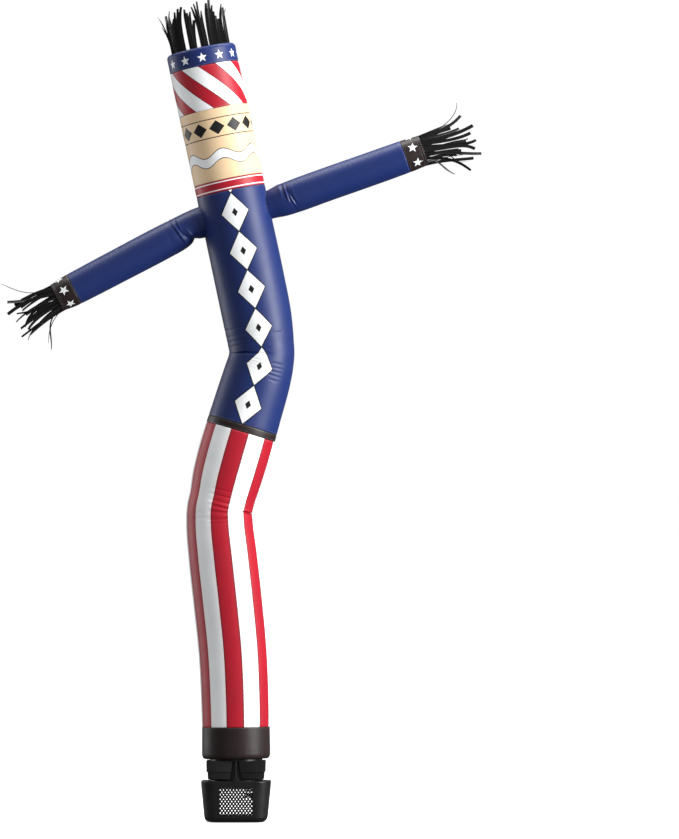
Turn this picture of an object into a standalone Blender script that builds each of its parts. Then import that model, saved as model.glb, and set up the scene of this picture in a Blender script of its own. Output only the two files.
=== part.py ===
"""Inflatable air dancer: a bent cloth tube with two arms and streamers, standing on its plastic blower.

Metres, +Z up, the front faces -Y. The origin is the middle of the blower's footprint, on the floor.
"""

import bisect
import math
import random

import bmesh
import bpy
from mathutils import Matrix, Vector

# Driving sizes
GAP = 0.0003
CLOTH = 0.0016
TUBE_SIDES = 24
ARM_SIDES = 16

# The tube's own sections, from the blower up. Half width is measured across the tube.
# name, height, sideways, half width
SPINE = [
    ("ankle", 0.230, 0.0000, 0.1240),
    ("low shin", 0.450, -0.0030, 0.1268),
    ("shin", 0.631, -0.0115, 0.1279),
    ("calf", 0.809, -0.0290, 0.1290),
    ("upper calf", 0.986, -0.0485, 0.1287),
    ("under knee", 1.098, -0.0596, 0.1256),
    ("knee", 1.148, -0.0602, 0.1238),
    ("over knee", 1.196, -0.0503, 0.1237),
    ("low thigh", 1.2525, -0.0372, 0.1291),
    ("thigh", 1.341, -0.0130, 0.1330),
    ("hip", 1.519, 0.0396, 0.1296),
    ("belly", 1.640, 0.0759, 0.1261),
    ("under waist", 1.690, 0.0892, 0.1225),
    ("waist", 1.728, 0.0960, 0.1190),
    ("over waist", 1.775, 0.0905, 0.1225),
    ("rib", 1.850, 0.0792, 0.1270),
    ("chest", 2.007, 0.0480, 0.1290),
    ("shoulder", 2.250, -0.0040, 0.1285),
    ("head", 2.496, -0.0565, 0.1290),
    ("brow", 2.673, -0.0948, 0.1290),
    ("crown", 2.857, -0.1330, 0.1290),
]

# Folds where the tube buckles: name, height, side in degrees round the tube, depth, half length along
# the tube, half spread in degrees. Side 0 is the right, 180 the left and -90 the front.
CREASES = [
    ("knee", 1.158, -12.0, 0.010, 0.014, 62.0),
    ("waist", 1.733, -164.0, 0.017, 0.015, 66.0),
]

# Where one cloth section is sewn to the next, as heights of the tube's middle
CUFF_TOP = 0.350
BELT_LOW = 1.440
BELT_TOP = 1.466
BODY_TOP = 2.330
COLLAR_TOP = 2.372
HEAD_TOP = 2.629
STRIPE_TOP = 2.789
CROWN_TOP = 2.857
CROWN_ROUND = 0.014
MOUTH_RADIUS = 0.1085

# The arms: distance from the tube's axis, sideways, height, half width
LEFT_ARM = [
    (0.000, -0.040, 2.246, 0.054),
    (0.060, -0.096, 2.228, 0.056),
    (0.100, -0.134, 2.214, 0.058),
    (0.140, -0.170, 2.197, 0.059),
    (0.178, -0.204, 2.178, 0.061),
    (0.260, -0.276, 2.140, 0.0625),
    (0.450, -0.443, 2.052, 0.0620),
    (0.600, -0.576, 1.982, 0.0605),
    (0.655, -0.624, 1.957, 0.0590),
    (0.700, -0.664, 1.936, 0.0530),
]
RIGHT_ARM = [
    (0.000, 0.040, 2.250, 0.048),
    (0.055, 0.092, 2.269, 0.050),
    (0.095, 0.129, 2.283, 0.053),
    (0.130, 0.163, 2.295, 0.0590),
    (0.180, 0.211, 2.312, 0.0615),
    (0.300, 0.324, 2.353, 0.0620),
    (0.450, 0.466, 2.403, 0.0620),
    (0.575, 0.584, 2.445, 0.0615),
    (0.640, 0.645, 2.467, 0.0605),
    (0.690, 0.692, 2.484, 0.0570),
]
WRIST_LENGTH = 0.072
# The sleeve is cut from this distance outwards by the tube's side, between these heights of the tube
SLEEVE_START = 0.02
SHOULDER_LOW = 1.95
SHOULDER_HIGH = 2.38
SEAM_GAP = 0.0005
# The hole in the tube is this much smaller all round than the inside of the sleeve
HOLE_PLAY = 0.001
ARM_HOLE_PLACES = [0.02, 0.06, 0.10, 0.16, 0.22]
# Folds near the shoulders: distance, side in degrees, depth, half length, half spread in degrees
LEFT_ARM_CREASES = [(0.128, 180.0, 0.011, 0.012, 70.0), (0.178, -120.0, 0.005, 0.010, 55.0)]
RIGHT_ARM_CREASES = [(0.165, -60.0, 0.006, 0.011, 60.0)]

# Streamers: flat strips on a narrow backing ring just inside a mouth
RING_DEPTH = 0.012
RING_WALL = 0.0022
RING_PLAY = 0.0014
TOP_STRIPS = 13
HAND_STRIPS = 13

# Blower
HOUSING_TOP = 0.148
DECK_TOP = 0.1515
WALL = 0.003
NECK_RADIUS = 0.097
NECK_WALL = 0.0025
FLANGE_RADIUS = 0.1185
FLANGE_LOW = 0.2395
FLANGE_TOP = 0.2435
BLOCK_HALF = 0.1085
# Block sections: height, how far the outer faces stand back, distance from its ends to the middle line
BLOCK = [
    (0.1590, 0.0060, 0.022),
    (0.1860, 0.0045, 0.019),
    (0.1860, 0.0010, 0.017),
    (0.2260, 0.0000, 0.012),
]
# Housing sections: height, half side, corner radius. Its sides are flat from the last row but one upwards.
HOUSING = [
    (0.0000, 0.0930, 0.042),
    (0.0015, 0.1000, 0.043),
    (0.0045, 0.1068, 0.045),
    (0.0090, 0.1120, 0.047),
    (0.0160, 0.1160, 0.049),
    (HOUSING_TOP, 0.1285, 0.056),
]
CORNER_STEPS = 4
FLOOR_THICK = 0.004
# Windows in the sides: name, quarter turns from the front, middle's height, height
WINDOW_WIDE = 0.128
WINDOWS = [
    ("front_grille", 0, 0.0740, 0.110),
    ("side_grille", 1, 0.0790, 0.120),
    ("back_grille", 2, 0.0790, 0.120),
    ("left_grille", 3, 0.0790, 0.120),
]
GRILLE_PITCH_X = 0.0240
GRILLE_PITCH_Z = 0.0344
GRILLE_BAR = 0.0052
GRILLE_RIM = 0.003
# The fitted pieces, as middle sideways, middle upwards, width and height on their side's window
COVER = (-0.0180, 0.0100, 0.0760, 0.0620)
SWITCH = (-0.0450, 0.0420, 0.0300, 0.0210)
INLET = (-0.0450, 0.0140, 0.0300, 0.0210)
ROCKER_WIDE = 0.0200
ROCKER_HIGH = 0.0132
ROCKER_PLAY = 0.0008
ROCKER_TILT = math.radians(7.0)
PLUG_X = 0.020


def clear_scene():
    for item in list(bpy.data.objects):
        bpy.data.objects.remove(item)


def finish(name, colour, roughness, metallic=0.0):
    """A plain surface in the piece's own colour."""
    made = bpy.data.materials.new(name)
    made.use_nodes = True
    shader = made.node_tree.nodes["Principled BSDF"]
    shader.inputs["Base Color"].default_value = (*colour, 1.0)
    shader.inputs["Roughness"].default_value = roughness
    shader.inputs["Metallic"].default_value = metallic
    made.diffuse_color = (*colour, 1.0)
    return made


def add_piece(name, bm, material, smooth_angle=35.0):
    """One named object from a bmesh, its faces turned outwards."""
    bmesh.ops.remove_doubles(bm, verts=bm.verts, dist=1e-6)
    bmesh.ops.recalc_face_normals(bm, faces=bm.faces)
    mesh = bpy.data.meshes.new(name)
    bm.to_mesh(mesh)
    bm.free()
    mesh.shade_smooth()
    mesh.set_sharp_from_angle(angle=math.radians(smooth_angle))
    mesh.materials.append(material)
    piece = bpy.data.objects.new(name, mesh)
    bpy.context.scene.collection.objects.link(piece)
    return piece


def cut(piece, cutter, operation="DIFFERENCE"):
    """A Boolean with a helper object that the render leaves out."""
    cutter.hide_render = True
    cutter.display_type = "WIRE"
    boolean = piece.modifiers.new("cut", "BOOLEAN")
    boolean.operation = operation
    boolean.solver = "EXACT"
    boolean.object = cutter


def loft(bm, rings, closed=False):
    """Skins a row of rings with equal numbers of points, capped at both ends, or closed last to first."""
    rows = [[bm.verts.new(point) for point in ring] for ring in rings]
    count = len(rows[0])
    pairs = list(zip(rows, rows[1:]))
    if closed:
        pairs.append((rows[-1], rows[0]))
    for low, high in pairs:
        for i in range(count):
            j = (i + 1) % count
            bm.faces.new((low[i], low[j], high[j], high[i]))
    if not closed:
        bm.faces.new(reversed(rows[0]))
        bm.faces.new(rows[-1])


def smooth(knots, values, t):
    """Value at t of the cubic through the table, with the slope at each row taken from its two neighbours."""

    def slope(i):
        if i == 0:
            return (values[1] - values[0]) / (knots[1] - knots[0])
        if i == len(knots) - 1:
            return (values[-1] - values[-2]) / (knots[-1] - knots[-2])
        before, after = knots[i] - knots[i - 1], knots[i + 1] - knots[i]
        rise_before = (values[i] - values[i - 1]) / before
        rise_after = (values[i + 1] - values[i]) / after
        return (after * rise_before + before * rise_after) / (before + after)

    i = max(0, min(bisect.bisect_right(knots, t) - 1, len(knots) - 2))
    step = knots[i + 1] - knots[i]
    u = (t - knots[i]) / step
    start = (2 * u**3 - 3 * u**2 + 1) * values[i] + (3 * u**2 - 2 * u**3) * values[i + 1]
    return start + step * ((u**3 - 2 * u**2 + u) * slope(i) + (u**3 - u**2) * slope(i + 1))


class Route:
    """A tube's path in the XZ plane: its middle, direction and half width at a distance or height t."""

    def __init__(self, table, creases=()):
        """Rows are t, sideways, height and half width. Creases are t, side, depth, half length and spread."""
        self.knots, self.xs, self.zs, self.radii = (list(column) for column in zip(*table))
        self.creases = creases

    def middle(self, t):
        return Vector((smooth(self.knots, self.xs, t), 0.0, smooth(self.knots, self.zs, t)))

    def direction(self, t):
        step = 0.002
        return (self.middle(t + step) - self.middle(t - step)).normalized()

    def across(self, t):
        """The direction in the XZ plane at a right angle to the tube: +X on an upright one."""
        along = self.direction(t)
        return Vector((along.z, 0.0, -along.x))

    def half_width(self, t, angle):
        """The tube's half width less its creases, each a V along the tube that fades round it."""
        radius = smooth(self.knots, self.radii, t)
        for at, side, depth, half_length, spread in self.creases:
            turned = (math.degrees(angle) - side + 180.0) % 360.0 - 180.0
            along = max(0.0, 1.0 - abs(t - at) / half_length)
            around = math.cos(math.radians(90.0 * min(1.0, abs(turned) / spread)))
            radius -= depth * along * around**0.8
        return radius

    def ring(self, t, sides, grow=0.0):
        """Points round the tube at t, moved outwards by grow."""
        middle, across = self.middle(t), self.across(t)
        points = []
        for i in range(sides):
            angle = 2 * math.pi * i / sides
            reach = self.half_width(t, angle) + grow
            sideways = across * (reach * math.cos(angle))
            points.append(middle + sideways + Vector((0.0, reach * math.sin(angle), 0.0)))
        return points


def body_route():
    table = [(height, x, height, radius) for _, height, x, radius in SPINE]
    return Route(table, [row[1:] for row in CREASES])


def stations(low, high, step, creases):
    """Evenly spaced places from low to high, with five more at each crease."""
    count = max(1, round((high - low) / step))
    places = [low + (high - low) * i / count for i in range(count + 1)]
    for crease in creases:
        at, half_length = crease[0], crease[3]
        if low < at < high:
            near = [at + half_length * share for share in (-3.0, -1.0, 0.0, 1.0, 3.0)]
            places = [p for p in places if abs(p - at) > 4.2 * half_length] + near
    return sorted(places)


def cloth_tube(bm, route, places, sides, wall=CLOTH):
    """A thin wall: rings up the outside, then down the inside, closed into one skin."""
    outer = [route.ring(t, sides) for t in places]
    inner = [route.ring(t, sides, grow=-wall) for t in reversed(places)]
    loft(bm, outer + inner, closed=True)


def plug_mesh(name, route, places, sides, grow):
    """The filled shape of a tube, as a cutter."""
    bm = bmesh.new()
    loft(bm, [route.ring(t, sides, grow=grow) for t in places])
    return add_piece(name, bm, helper)


def make_tube_sections(route):
    """The cloth tube from the belt up and down, one object for each cut length."""
    creases = route.creases
    sections = [
        ("leg_tube", CUFF_TOP + GAP, BELT_LOW, 0.115, striped_cloth),
        ("waist_band", BELT_LOW + GAP, BELT_TOP, 0.03, dark_cloth),
        ("body_tube", BELT_TOP + GAP, BODY_TOP, 0.144, navy_cloth),
        ("collar_band", BODY_TOP + GAP, COLLAR_TOP, 0.05, red_cloth),
        ("head_tube", COLLAR_TOP + GAP, HEAD_TOP, 0.13, cream_cloth),
        ("stripe_tube", HEAD_TOP + GAP, STRIPE_TOP, 0.12, striped_cloth),
    ]
    for name, low, high, step, material in sections:
        bm = bmesh.new()
        cloth_tube(bm, route, stations(low, high, step, creases), TUBE_SIDES)
        add_piece(name, bm, material)


def make_base_cuff(route):
    """The dark cuff, pulled over the blower's outlet flange and drawn in under it by its hem."""
    # height above the flange's underside, outer half width, inner half width
    profile = [
        (-0.0060, 0.1100, 0.1100),
        (-0.0052, 0.1170, 0.1166),
        (0.0006, 0.1238, 0.1222),
        (0.0110, 0.1257, 0.1241),
        (0.0600, 0.1254, 0.1238),
    ]
    outer = [circle(out, FLANGE_LOW + up) for up, out, _ in profile]
    # The drawn-in edge keeps its thickness by lying a little higher on the inside.
    lifts = [0.0018, 0.0016, 0.0010, 0.0004, 0.0]
    inner = [circle(row[2], FLANGE_LOW + row[0] + lift) for row, lift in zip(profile, lifts)]
    outer.append(route.ring(CUFF_TOP, TUBE_SIDES, grow=0.0008))
    inner.append(route.ring(CUFF_TOP, TUBE_SIDES, grow=0.0008 - CLOTH))
    bm = bmesh.new()
    loft(bm, outer + list(reversed(inner)), closed=True)
    add_piece("base_cuff", bm, dark_cloth)


def turn(count):
    """Angles round a circle."""
    return [2 * math.pi * i / count for i in range(count)]


def circle(radius, height, sides=TUBE_SIDES):
    """A level ring round the blower's middle line."""
    return [Vector((radius * math.cos(a), radius * math.sin(a), height)) for a in turn(sides)]


def make_star_band(route):
    """The starred band at the top, rounded in and turned flat round the air vent."""
    inward = route.half_width(CROWN_TOP, 0.0) - MOUTH_RADIUS
    # distance below the top edge, how far the cloth has come in, and the same two for its inner face
    profile = [
        (CROWN_ROUND, 0.0, CROWN_ROUND, CLOTH),
        (0.29 * CROWN_ROUND, 0.29 * CROWN_ROUND, 0.29 * CROWN_ROUND + 0.0012, 0.29 * CROWN_ROUND + 0.0012),
        (0.0, CROWN_ROUND, CLOTH, CROWN_ROUND),
        (0.0, inward, CLOTH, inward),
    ]
    low = STRIPE_TOP + GAP
    outer = [route.ring(low, TUBE_SIDES)]
    inner = [route.ring(low, TUBE_SIDES, grow=-CLOTH)]
    for down, come_in, inner_down, inner_in in profile:
        outer.append(route.ring(CROWN_TOP - down, TUBE_SIDES, grow=-come_in))
        inner.append(route.ring(CROWN_TOP - inner_down, TUBE_SIDES, grow=-inner_in))
    bm = bmesh.new()
    loft(bm, outer + list(reversed(inner)), closed=True)
    add_piece("star_band", bm, navy_cloth)


def mouth_frame(route, t):
    """Origin, outward axis and sideways axis of a tube's open end."""
    return route.middle(t), route.direction(t), route.across(t)


def ring_in_frame(frame, radius, rise, sides):
    origin, axis, across = frame
    return [
        origin
        + axis * rise
        + across * (radius * math.cos(a))
        + Vector((0.0, radius * math.sin(a), 0.0))
        for a in turn(sides)
    ]


def strip_point(frame, spec, angle, u, off, out):
    """A point on a strip at a share u of its length, off across the strip and out through its thickness."""
    origin, axis, across = frame
    radial = across * math.cos(angle) + Vector((0.0, math.sin(angle), 0.0))
    around = -across * math.sin(angle) + Vector((0.0, math.cos(angle), 0.0))
    length = spec["length"] * u
    lean = math.radians(spec["lean"] + spec["flare"] * u)
    forward = axis * (length * math.cos(lean))
    outward = radial * (length * math.sin(lean) + spec["radius"] + out)
    sway = around * (spec["sway"] * math.sin(2.4 * u) * u + off)
    fall = Vector((0.0, 0.0, -spec["droop"] * u * u))
    return origin + forward + outward + sway + fall


def add_strips(bm, frame, specs, facets, columns, split):
    """A narrow backing ring with flat strips on its rim, all one skin. Past its split a strip is in tips."""
    radius, per_strip = specs[0]["radius"], facets // len(specs)
    inner_radius = radius - RING_WALL

    def ring(r, rise):
        return [bm.verts.new(p) for p in ring_in_frame(frame, r, rise, facets)]

    low_out, low_in = ring(radius, -RING_DEPTH), ring(inner_radius, -RING_DEPTH)
    top_out, top_in = ring(radius, 0.0), ring(inner_radius, 0.0)
    for i in range(facets):
        j = (i + 1) % facets
        bm.faces.new((low_out[i], low_out[j], top_out[j], top_out[i]))
        bm.faces.new((low_in[j], low_in[i], top_in[i], top_in[j]))
        bm.faces.new((low_out[j], low_out[i], low_in[i], low_in[j]))
        if i % per_strip >= columns:
            bm.faces.new((top_out[i], top_out[j], top_in[j], top_in[i]))
    for k, spec in enumerate(specs):
        first = k * per_strip
        edges = [(first + c) % facets for c in range(columns + 1)]
        outer, inner = [top_out[i] for i in edges], [top_in[i] for i in edges]
        add_one_strip(bm, frame, spec, 2 * math.pi / facets, first, outer, inner, columns, split)


def add_one_strip(bm, frame, spec, facet_turn, first, outer, inner, columns, split):
    """One strip from its root points, as boxes end to end: whole up to the split, then a tip a column."""
    middle_angle = (first + columns / 2) * facet_turn
    half = spec["radius"] * facet_turn * columns / 2
    levels = spec["levels"]
    whole = max(1, round(levels * split))

    def points(u, lo, hi, fan, extra):
        """Outer and inner points at the two edges of some columns."""
        thin = RING_WALL * (1.0 - 0.25 * u)
        rows = []
        for c in range(lo, hi + 1):
            off = half * (2 * c / columns - 1) * (1.0 - spec["narrow"] * u) + fan
            rows.append(
                (
                    bm.verts.new(strip_point(frame, extra, middle_angle, u, off, 0.0)),
                    bm.verts.new(strip_point(frame, extra, middle_angle, u, off, -thin)),
                )
            )
        return [r[0] for r in rows], [r[1] for r in rows]

    def box(out_a, in_a, out_b, in_b):
        for c in range(len(out_a) - 1):
            bm.faces.new((out_a[c], out_a[c + 1], out_b[c + 1], out_b[c]))
            bm.faces.new((in_a[c + 1], in_a[c], in_b[c], in_b[c + 1]))
        bm.faces.new((in_a[0], out_a[0], out_b[0], in_b[0]))
        bm.faces.new((out_a[-1], in_a[-1], in_b[-1], out_b[-1]))

    last_out, last_in = outer, inner
    for level in range(1, whole + 1):
        new_out, new_in = points(level / levels, 0, columns, 0.0, spec)
        box(last_out, last_in, new_out, new_in)
        last_out, last_in = new_out, new_in
    if whole == levels:
        for c in range(columns):
            bm.faces.new((last_out[c], last_out[c + 1], last_in[c + 1], last_in[c]))
        return
    for c in range(columns):
        root_out, root_in = last_out[c : c + 2], last_in[c : c + 2]
        share = c - (columns - 1) / 2
        for level in range(whole + 1, levels + 1):
            u = level / levels
            gone = (level - whole) / (levels - whole)
            tip = dict(spec, length=spec["length"] * (1.0 + spec["ragged"] * math.sin(3.1 * c + first)))
            tip["radius"] = spec["radius"] + 0.006 * gone * share
            fan = spec["spread"] * share * gone
            new_out, new_in = points(u, c, c + 1, fan, tip)
            box(root_out, root_in, new_out, new_in)
            root_out, root_in = new_out, new_in
        bm.faces.new((root_out[0], root_out[1], root_in[1], root_in[0]))


def make_top_streamers(route):
    """Broad black strips that stand up in the vented air, split at their tips."""
    draw = random.Random(11)
    specs = [
        {
            "radius": MOUTH_RADIUS - RING_PLAY,
            "length": draw.uniform(0.128, 0.166),
            "lean": draw.uniform(-3.5, 0.5),
            "flare": draw.uniform(1.0, 7.5),
            "sway": draw.uniform(-0.008, 0.008),
            "droop": 0.0,
            "narrow": 0.25,
            "spread": draw.uniform(0.006, 0.010),
            "ragged": draw.uniform(0.03, 0.08),
            "levels": 5,
        }
        for _ in range(TOP_STRIPS)
    ]
    bm = bmesh.new()
    add_strips(bm, mouth_frame(route, CROWN_TOP), specs, TOP_STRIPS * 4, 3, 0.6)
    add_piece("top_streamers", bm, black_cloth)


def make_arm(side, route, body, seed, droop):
    """A sleeve cut to the tube's side, its dark wrist band, and the strips in the band's mouth."""
    end = route.knots[-1]
    wrist_start = end - WRIST_LENGTH
    places = stations(SLEEVE_START, wrist_start - GAP, 0.075, route.creases)
    bm = bmesh.new()
    cloth_tube(bm, route, places, ARM_SIDES)
    sleeve = add_piece(f"{side}_sleeve", bm, navy_cloth)
    shoulder_places = stations(SHOULDER_LOW, SHOULDER_HIGH, 0.08, ())
    cut(sleeve, plug_mesh(f"{side}_side_cutter", body, shoulder_places, TUBE_SIDES, SEAM_GAP))
    hole = plug_mesh(f"{side}_hole_cutter", route, ARM_HOLE_PLACES, ARM_SIDES, -CLOTH - HOLE_PLAY)
    cut(bpy.data.objects["body_tube"], hole)

    bm = bmesh.new()
    cloth_tube(bm, route, [wrist_start, wrist_start + 0.03, wrist_start + 0.06, end], ARM_SIDES)
    add_piece(f"{side}_wrist", bm, dark_cloth)

    draw = random.Random(seed)
    mouth = route.radii[-1] - CLOTH - RING_PLAY
    specs = [
        {
            "radius": mouth,
            "length": draw.uniform(0.165, 0.215),
            "lean": draw.uniform(1.0, 7.0),
            "flare": draw.uniform(6.0, 24.0),
            "sway": draw.uniform(-0.010, 0.010),
            "droop": droop,
            "narrow": 0.12,
            "spread": 0.0,
            "ragged": 0.0,
            "levels": 5,
        }
        for _ in range(HAND_STRIPS)
    ]
    bm = bmesh.new()
    add_strips(bm, mouth_frame(route, end - 0.001), specs, HAND_STRIPS * 2, 1, 1.0)
    add_piece(f"{side}_streamers", bm, black_cloth)


def rounded_square(half, corner, z):
    """Points round a square with round corners, anticlockwise from the right side's upper end."""
    points = []
    for quarter in range(4):
        cx = (half - corner) * (1 if quarter in (0, 3) else -1)
        cy = (half - corner) * (1 if quarter in (0, 1) else -1)
        for i in range(CORNER_STEPS + 1):
            a = (quarter + i / CORNER_STEPS) * math.pi / 2
            points.append(Vector((cx + corner * math.cos(a), cy + corner * math.sin(a), z)))
    return points


def make_housing():
    """The blower's tub: drafted sides with round corners, closed below, with a window in each side."""
    outer = [rounded_square(half, corner, z) for z, half, corner in HOUSING]
    inner = [rounded_square(half - WALL, corner - WALL, z) for z, half, corner in reversed(HOUSING[2:])]
    floor_half, floor_corner = HOUSING[1][1] - WALL, HOUSING[1][2] - WALL
    inner.append(rounded_square(floor_half, floor_corner, FLOOR_THICK))
    bm = bmesh.new()
    loft(bm, outer + inner)
    tub = add_piece("housing", bm, black_plastic)
    for name, _, _, high in WINDOWS:
        bm = bmesh.new()
        add_box(bm, (WINDOW_WIDE + 2 * GAP, high + 2 * GAP, 10 * WALL), (0.0, 0.0, 0.0), face_frame(name))
        cut(tub, add_piece(f"{name}_window_cutter", bm, helper))


def face_frame(name, x=0.0, y=0.0):
    """A window's frame on the outer face: X to the right of who faces it, Y up the slope, Z outwards."""
    side, middle = next((row[1], row[2]) for row in WINDOWS if row[0] == name)
    (low, low_half, _), (high, high_half, _) = HOUSING[-2:]
    out = low_half + (middle - low) / (high - low) * (high_half - low_half)
    lean = math.atan2(high_half - low_half, high - low)
    tilt = Matrix.Rotation(math.pi / 2 + lean, 4, "X")
    return (
        Matrix.Rotation(side * math.pi / 2, 4, "Z")
        @ Matrix.Translation((0.0, -out, middle))
        @ tilt
        @ Matrix.Translation((x, y, 0.0))
    )


def add_box(bm, size, middle, frame):
    """A box by its size and middle in a frame."""
    verts = bmesh.ops.create_cube(bm, size=1.0)["verts"]
    bmesh.ops.scale(bm, verts=verts, vec=size)
    bmesh.ops.translate(bm, verts=verts, vec=middle)
    bmesh.ops.transform(bm, verts=verts, matrix=frame)


def rectangle(frame, half_x, half_y, depth):
    corners = ((half_x, half_y), (-half_x, half_y), (-half_x, -half_y), (half_x, -half_y))
    return [frame @ Vector((x, y, depth)) for x, y in corners]


def diamond_half():
    """Half width and half height of a diamond, less the bar between two of them."""
    slant = math.hypot(GRILLE_PITCH_X, GRILLE_PITCH_Z)
    shrink = 1.0 - GRILLE_BAR * slant / (GRILLE_PITCH_X * GRILLE_PITCH_Z)
    return GRILLE_PITCH_X / 2 * shrink, GRILLE_PITCH_Z / 2 * shrink


def diamond_places(high, kept):
    """Middles of the staggered diamonds in a window, less those that touch the kept rectangles."""
    half_x, half_y = diamond_half()
    places = []
    rows = int(high / GRILLE_PITCH_Z)
    for row in range(-rows, rows + 1):
        for column in range(-3, 4):
            x = (column + 0.5 * (row % 2)) * GRILLE_PITCH_X
            y = row * GRILLE_PITCH_Z / 2
            inside = (
                abs(x) + half_x < WINDOW_WIDE / 2 - GRILLE_RIM
                and abs(y) + half_y < high / 2 - GRILLE_RIM
            )
            clear = all(
                abs(x - kx) > wide / 2 + half_x + GRILLE_RIM or abs(y - ky) > tall / 2 + half_y + GRILLE_RIM
                for kx, ky, wide, tall in kept
            )
            if inside and clear:
                places.append((x, y))
    return places


def make_grille(name, kept=(), holes=()):
    """A flat plate with diamond holes, and with rectangular holes for what is fitted in it."""
    high = next(row[3] for row in WINDOWS if row[0] == name)
    frame = face_frame(name)
    bm = bmesh.new()
    add_box(bm, (WINDOW_WIDE, high, WALL), (0.0, 0.0, -WALL / 2), frame)
    plate = add_piece(name, bm, black_plastic)
    bm = bmesh.new()
    half_x, half_y = diamond_half()
    for x, y in diamond_places(high, kept):
        corners = ((x + half_x, y), (x, y + half_y), (x - half_x, y), (x, y - half_y))
        prism = [[frame @ Vector((cx, cy, depth)) for cx, cy in corners] for depth in (-2 * WALL, WALL)]
        loft(bm, prism)
    for x, y, wide, tall in holes:
        add_box(bm, (wide, tall, 3 * WALL), (x, y, -WALL / 2), frame)
    cut(plate, add_piece(f"{name}_cutter", bm, helper))


def fitted_hole(place, play=GAP):
    """The hole for a fitted piece, a little wider all round."""
    x, y, wide, high = place
    return (x, y, wide + 2 * play, high + 2 * play)


def make_side_cover():
    """The plain access cover, flush in the right side's grille."""
    x, y, wide, high = COVER
    bm = bmesh.new()
    add_box(bm, (wide, high, WALL), (0.0, 0.0, -WALL / 2), face_frame("side_grille", x, y))
    add_piece("side_cover", bm, black_plastic)


def make_switch():
    """A rocker in its bezel. The rocker turns about an upright pin line in the plate's outer face."""
    x, y, wide, high = SWITCH
    frame = face_frame("back_grille", x, y)
    lip = 0.0022
    slope = 0.0010
    hole_x, hole_y = ROCKER_WIDE / 2 + ROCKER_PLAY, ROCKER_HIGH / 2 + ROCKER_PLAY
    rings = [
        rectangle(frame, wide / 2, high / 2, GAP),
        rectangle(frame, wide / 2 - slope, high / 2 - slope, lip),
        rectangle(frame, hole_x, hole_y, lip),
        rectangle(frame, hole_x, hole_y, GAP),
    ]
    bm = bmesh.new()
    loft(bm, rings, closed=True)
    add_piece("switch_bezel", bm, black_plastic)

    # The rocker's front is a shallow V with its lowest line over the pin: along, outwards
    profile = [
        (-ROCKER_WIDE / 2, -0.0035),
        (ROCKER_WIDE / 2, -0.0035),
        (ROCKER_WIDE / 2, 0.0030),
        (0.0, 0.0018),
        (-ROCKER_WIDE / 2, 0.0030),
    ]
    ends = (-ROCKER_HIGH / 2, ROCKER_HIGH / 2)
    bm = bmesh.new()
    loft(bm, [[Vector((along, up, out)) for along, out in profile] for up in ends])
    rocker = add_piece("switch_rocker", bm, switch_plastic)
    pin_line = bpy.data.objects.new("rocker_pin_line", None)
    bpy.context.scene.collection.objects.link(pin_line)
    pin_line.matrix_world = frame
    rocker.parent = pin_line
    rocker.rotation_euler = (0.0, -ROCKER_TILT, 0.0)


def make_inlet_plate():
    """The raised plate under the switch, parted from its rim by four narrow slots."""
    x, y, wide, high = INLET
    frame = face_frame("back_grille", x, y)
    proud = 0.0012
    slot = 0.0016
    inset = 0.0040
    bm = bmesh.new()
    add_box(bm, (wide, high, WALL + proud), (0.0, 0.0, (proud - WALL) / 2), frame)
    plate = add_piece("inlet_plate", bm, black_plastic)
    bm = bmesh.new()
    for sign in (-1, 1):
        add_box(bm, (wide - 4 * inset, slot, 6 * WALL), (0.0, sign * (high / 2 - inset), 0.0), frame)
        add_box(bm, (slot, high - 4 * inset, 6 * WALL), (sign * (wide / 2 - inset), 0.0, 0.0), frame)
    cut(plate, add_piece("inlet_slot_cutter", bm, helper))


def make_round_plug():
    """The round boss low on the back, with a dimple."""
    middle = next(row[2] for row in WINDOWS if row[0] == "back_grille")
    frame = face_frame("back_grille", PLUG_X, 0.012 - middle)
    # half width, height over the face
    profile = [(0.0085, 0.0022), (0.0085, 0.0060), (0.0070, 0.0072), (0.0045, 0.0072), (0.0036, 0.0052)]
    rings = [[frame @ Vector((r * math.cos(a), r * math.sin(a), z)) for a in turn(16)] for r, z in profile]
    bm = bmesh.new()
    loft(bm, rings)
    add_piece("round_plug", bm, rubber)


def make_turned(name, profile, material, sides=32):
    """A ring-shaped piece from its radius and height rows."""
    bm = bmesh.new()
    loft(bm, [circle(radius, height, sides) for radius, height in profile], closed=True)
    add_piece(name, bm, material)


def make_deck_and_neck():
    """The lid of the housing with its round hole, the duct that stands on it, and the outlet flange."""
    low, high = HOUSING_TOP + GAP, DECK_TOP
    half, corner = HOUSING[-1][1:]
    inner = NECK_RADIUS - NECK_WALL
    rim = rounded_square(half, corner, low)
    bearings = [math.atan2(point.y, point.x) for point in rim]

    def hole_ring(z):
        """Points on the hole, each on the same bearing as its partner on the rim."""
        return [Vector((inner * math.cos(a), inner * math.sin(a), z)) for a in bearings]

    bm = bmesh.new()
    loft(bm, [rim, rounded_square(half - 0.0012, corner, high), hole_ring(high), hole_ring(low)], closed=True)
    add_piece("deck", bm, black_plastic)

    foot, top = DECK_TOP + GAP, FLANGE_LOW - GAP
    fillet = 0.0030
    neck = [
        (inner, foot),
        (NECK_RADIUS + fillet, foot),
        (NECK_RADIUS + fillet, foot + fillet),
        (NECK_RADIUS, foot + 2 * fillet),
        (NECK_RADIUS, top),
        (inner, top),
    ]
    make_turned("neck", neck, black_plastic)
    flange = [
        (inner, FLANGE_LOW),
        (FLANGE_RADIUS - 0.0010, FLANGE_LOW),
        (FLANGE_RADIUS, FLANGE_LOW + 0.0012),
        (NECK_RADIUS + 0.0040, FLANGE_TOP),
        (inner, FLANGE_TOP),
    ]
    make_turned("outlet_flange", flange, black_plastic)


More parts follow.
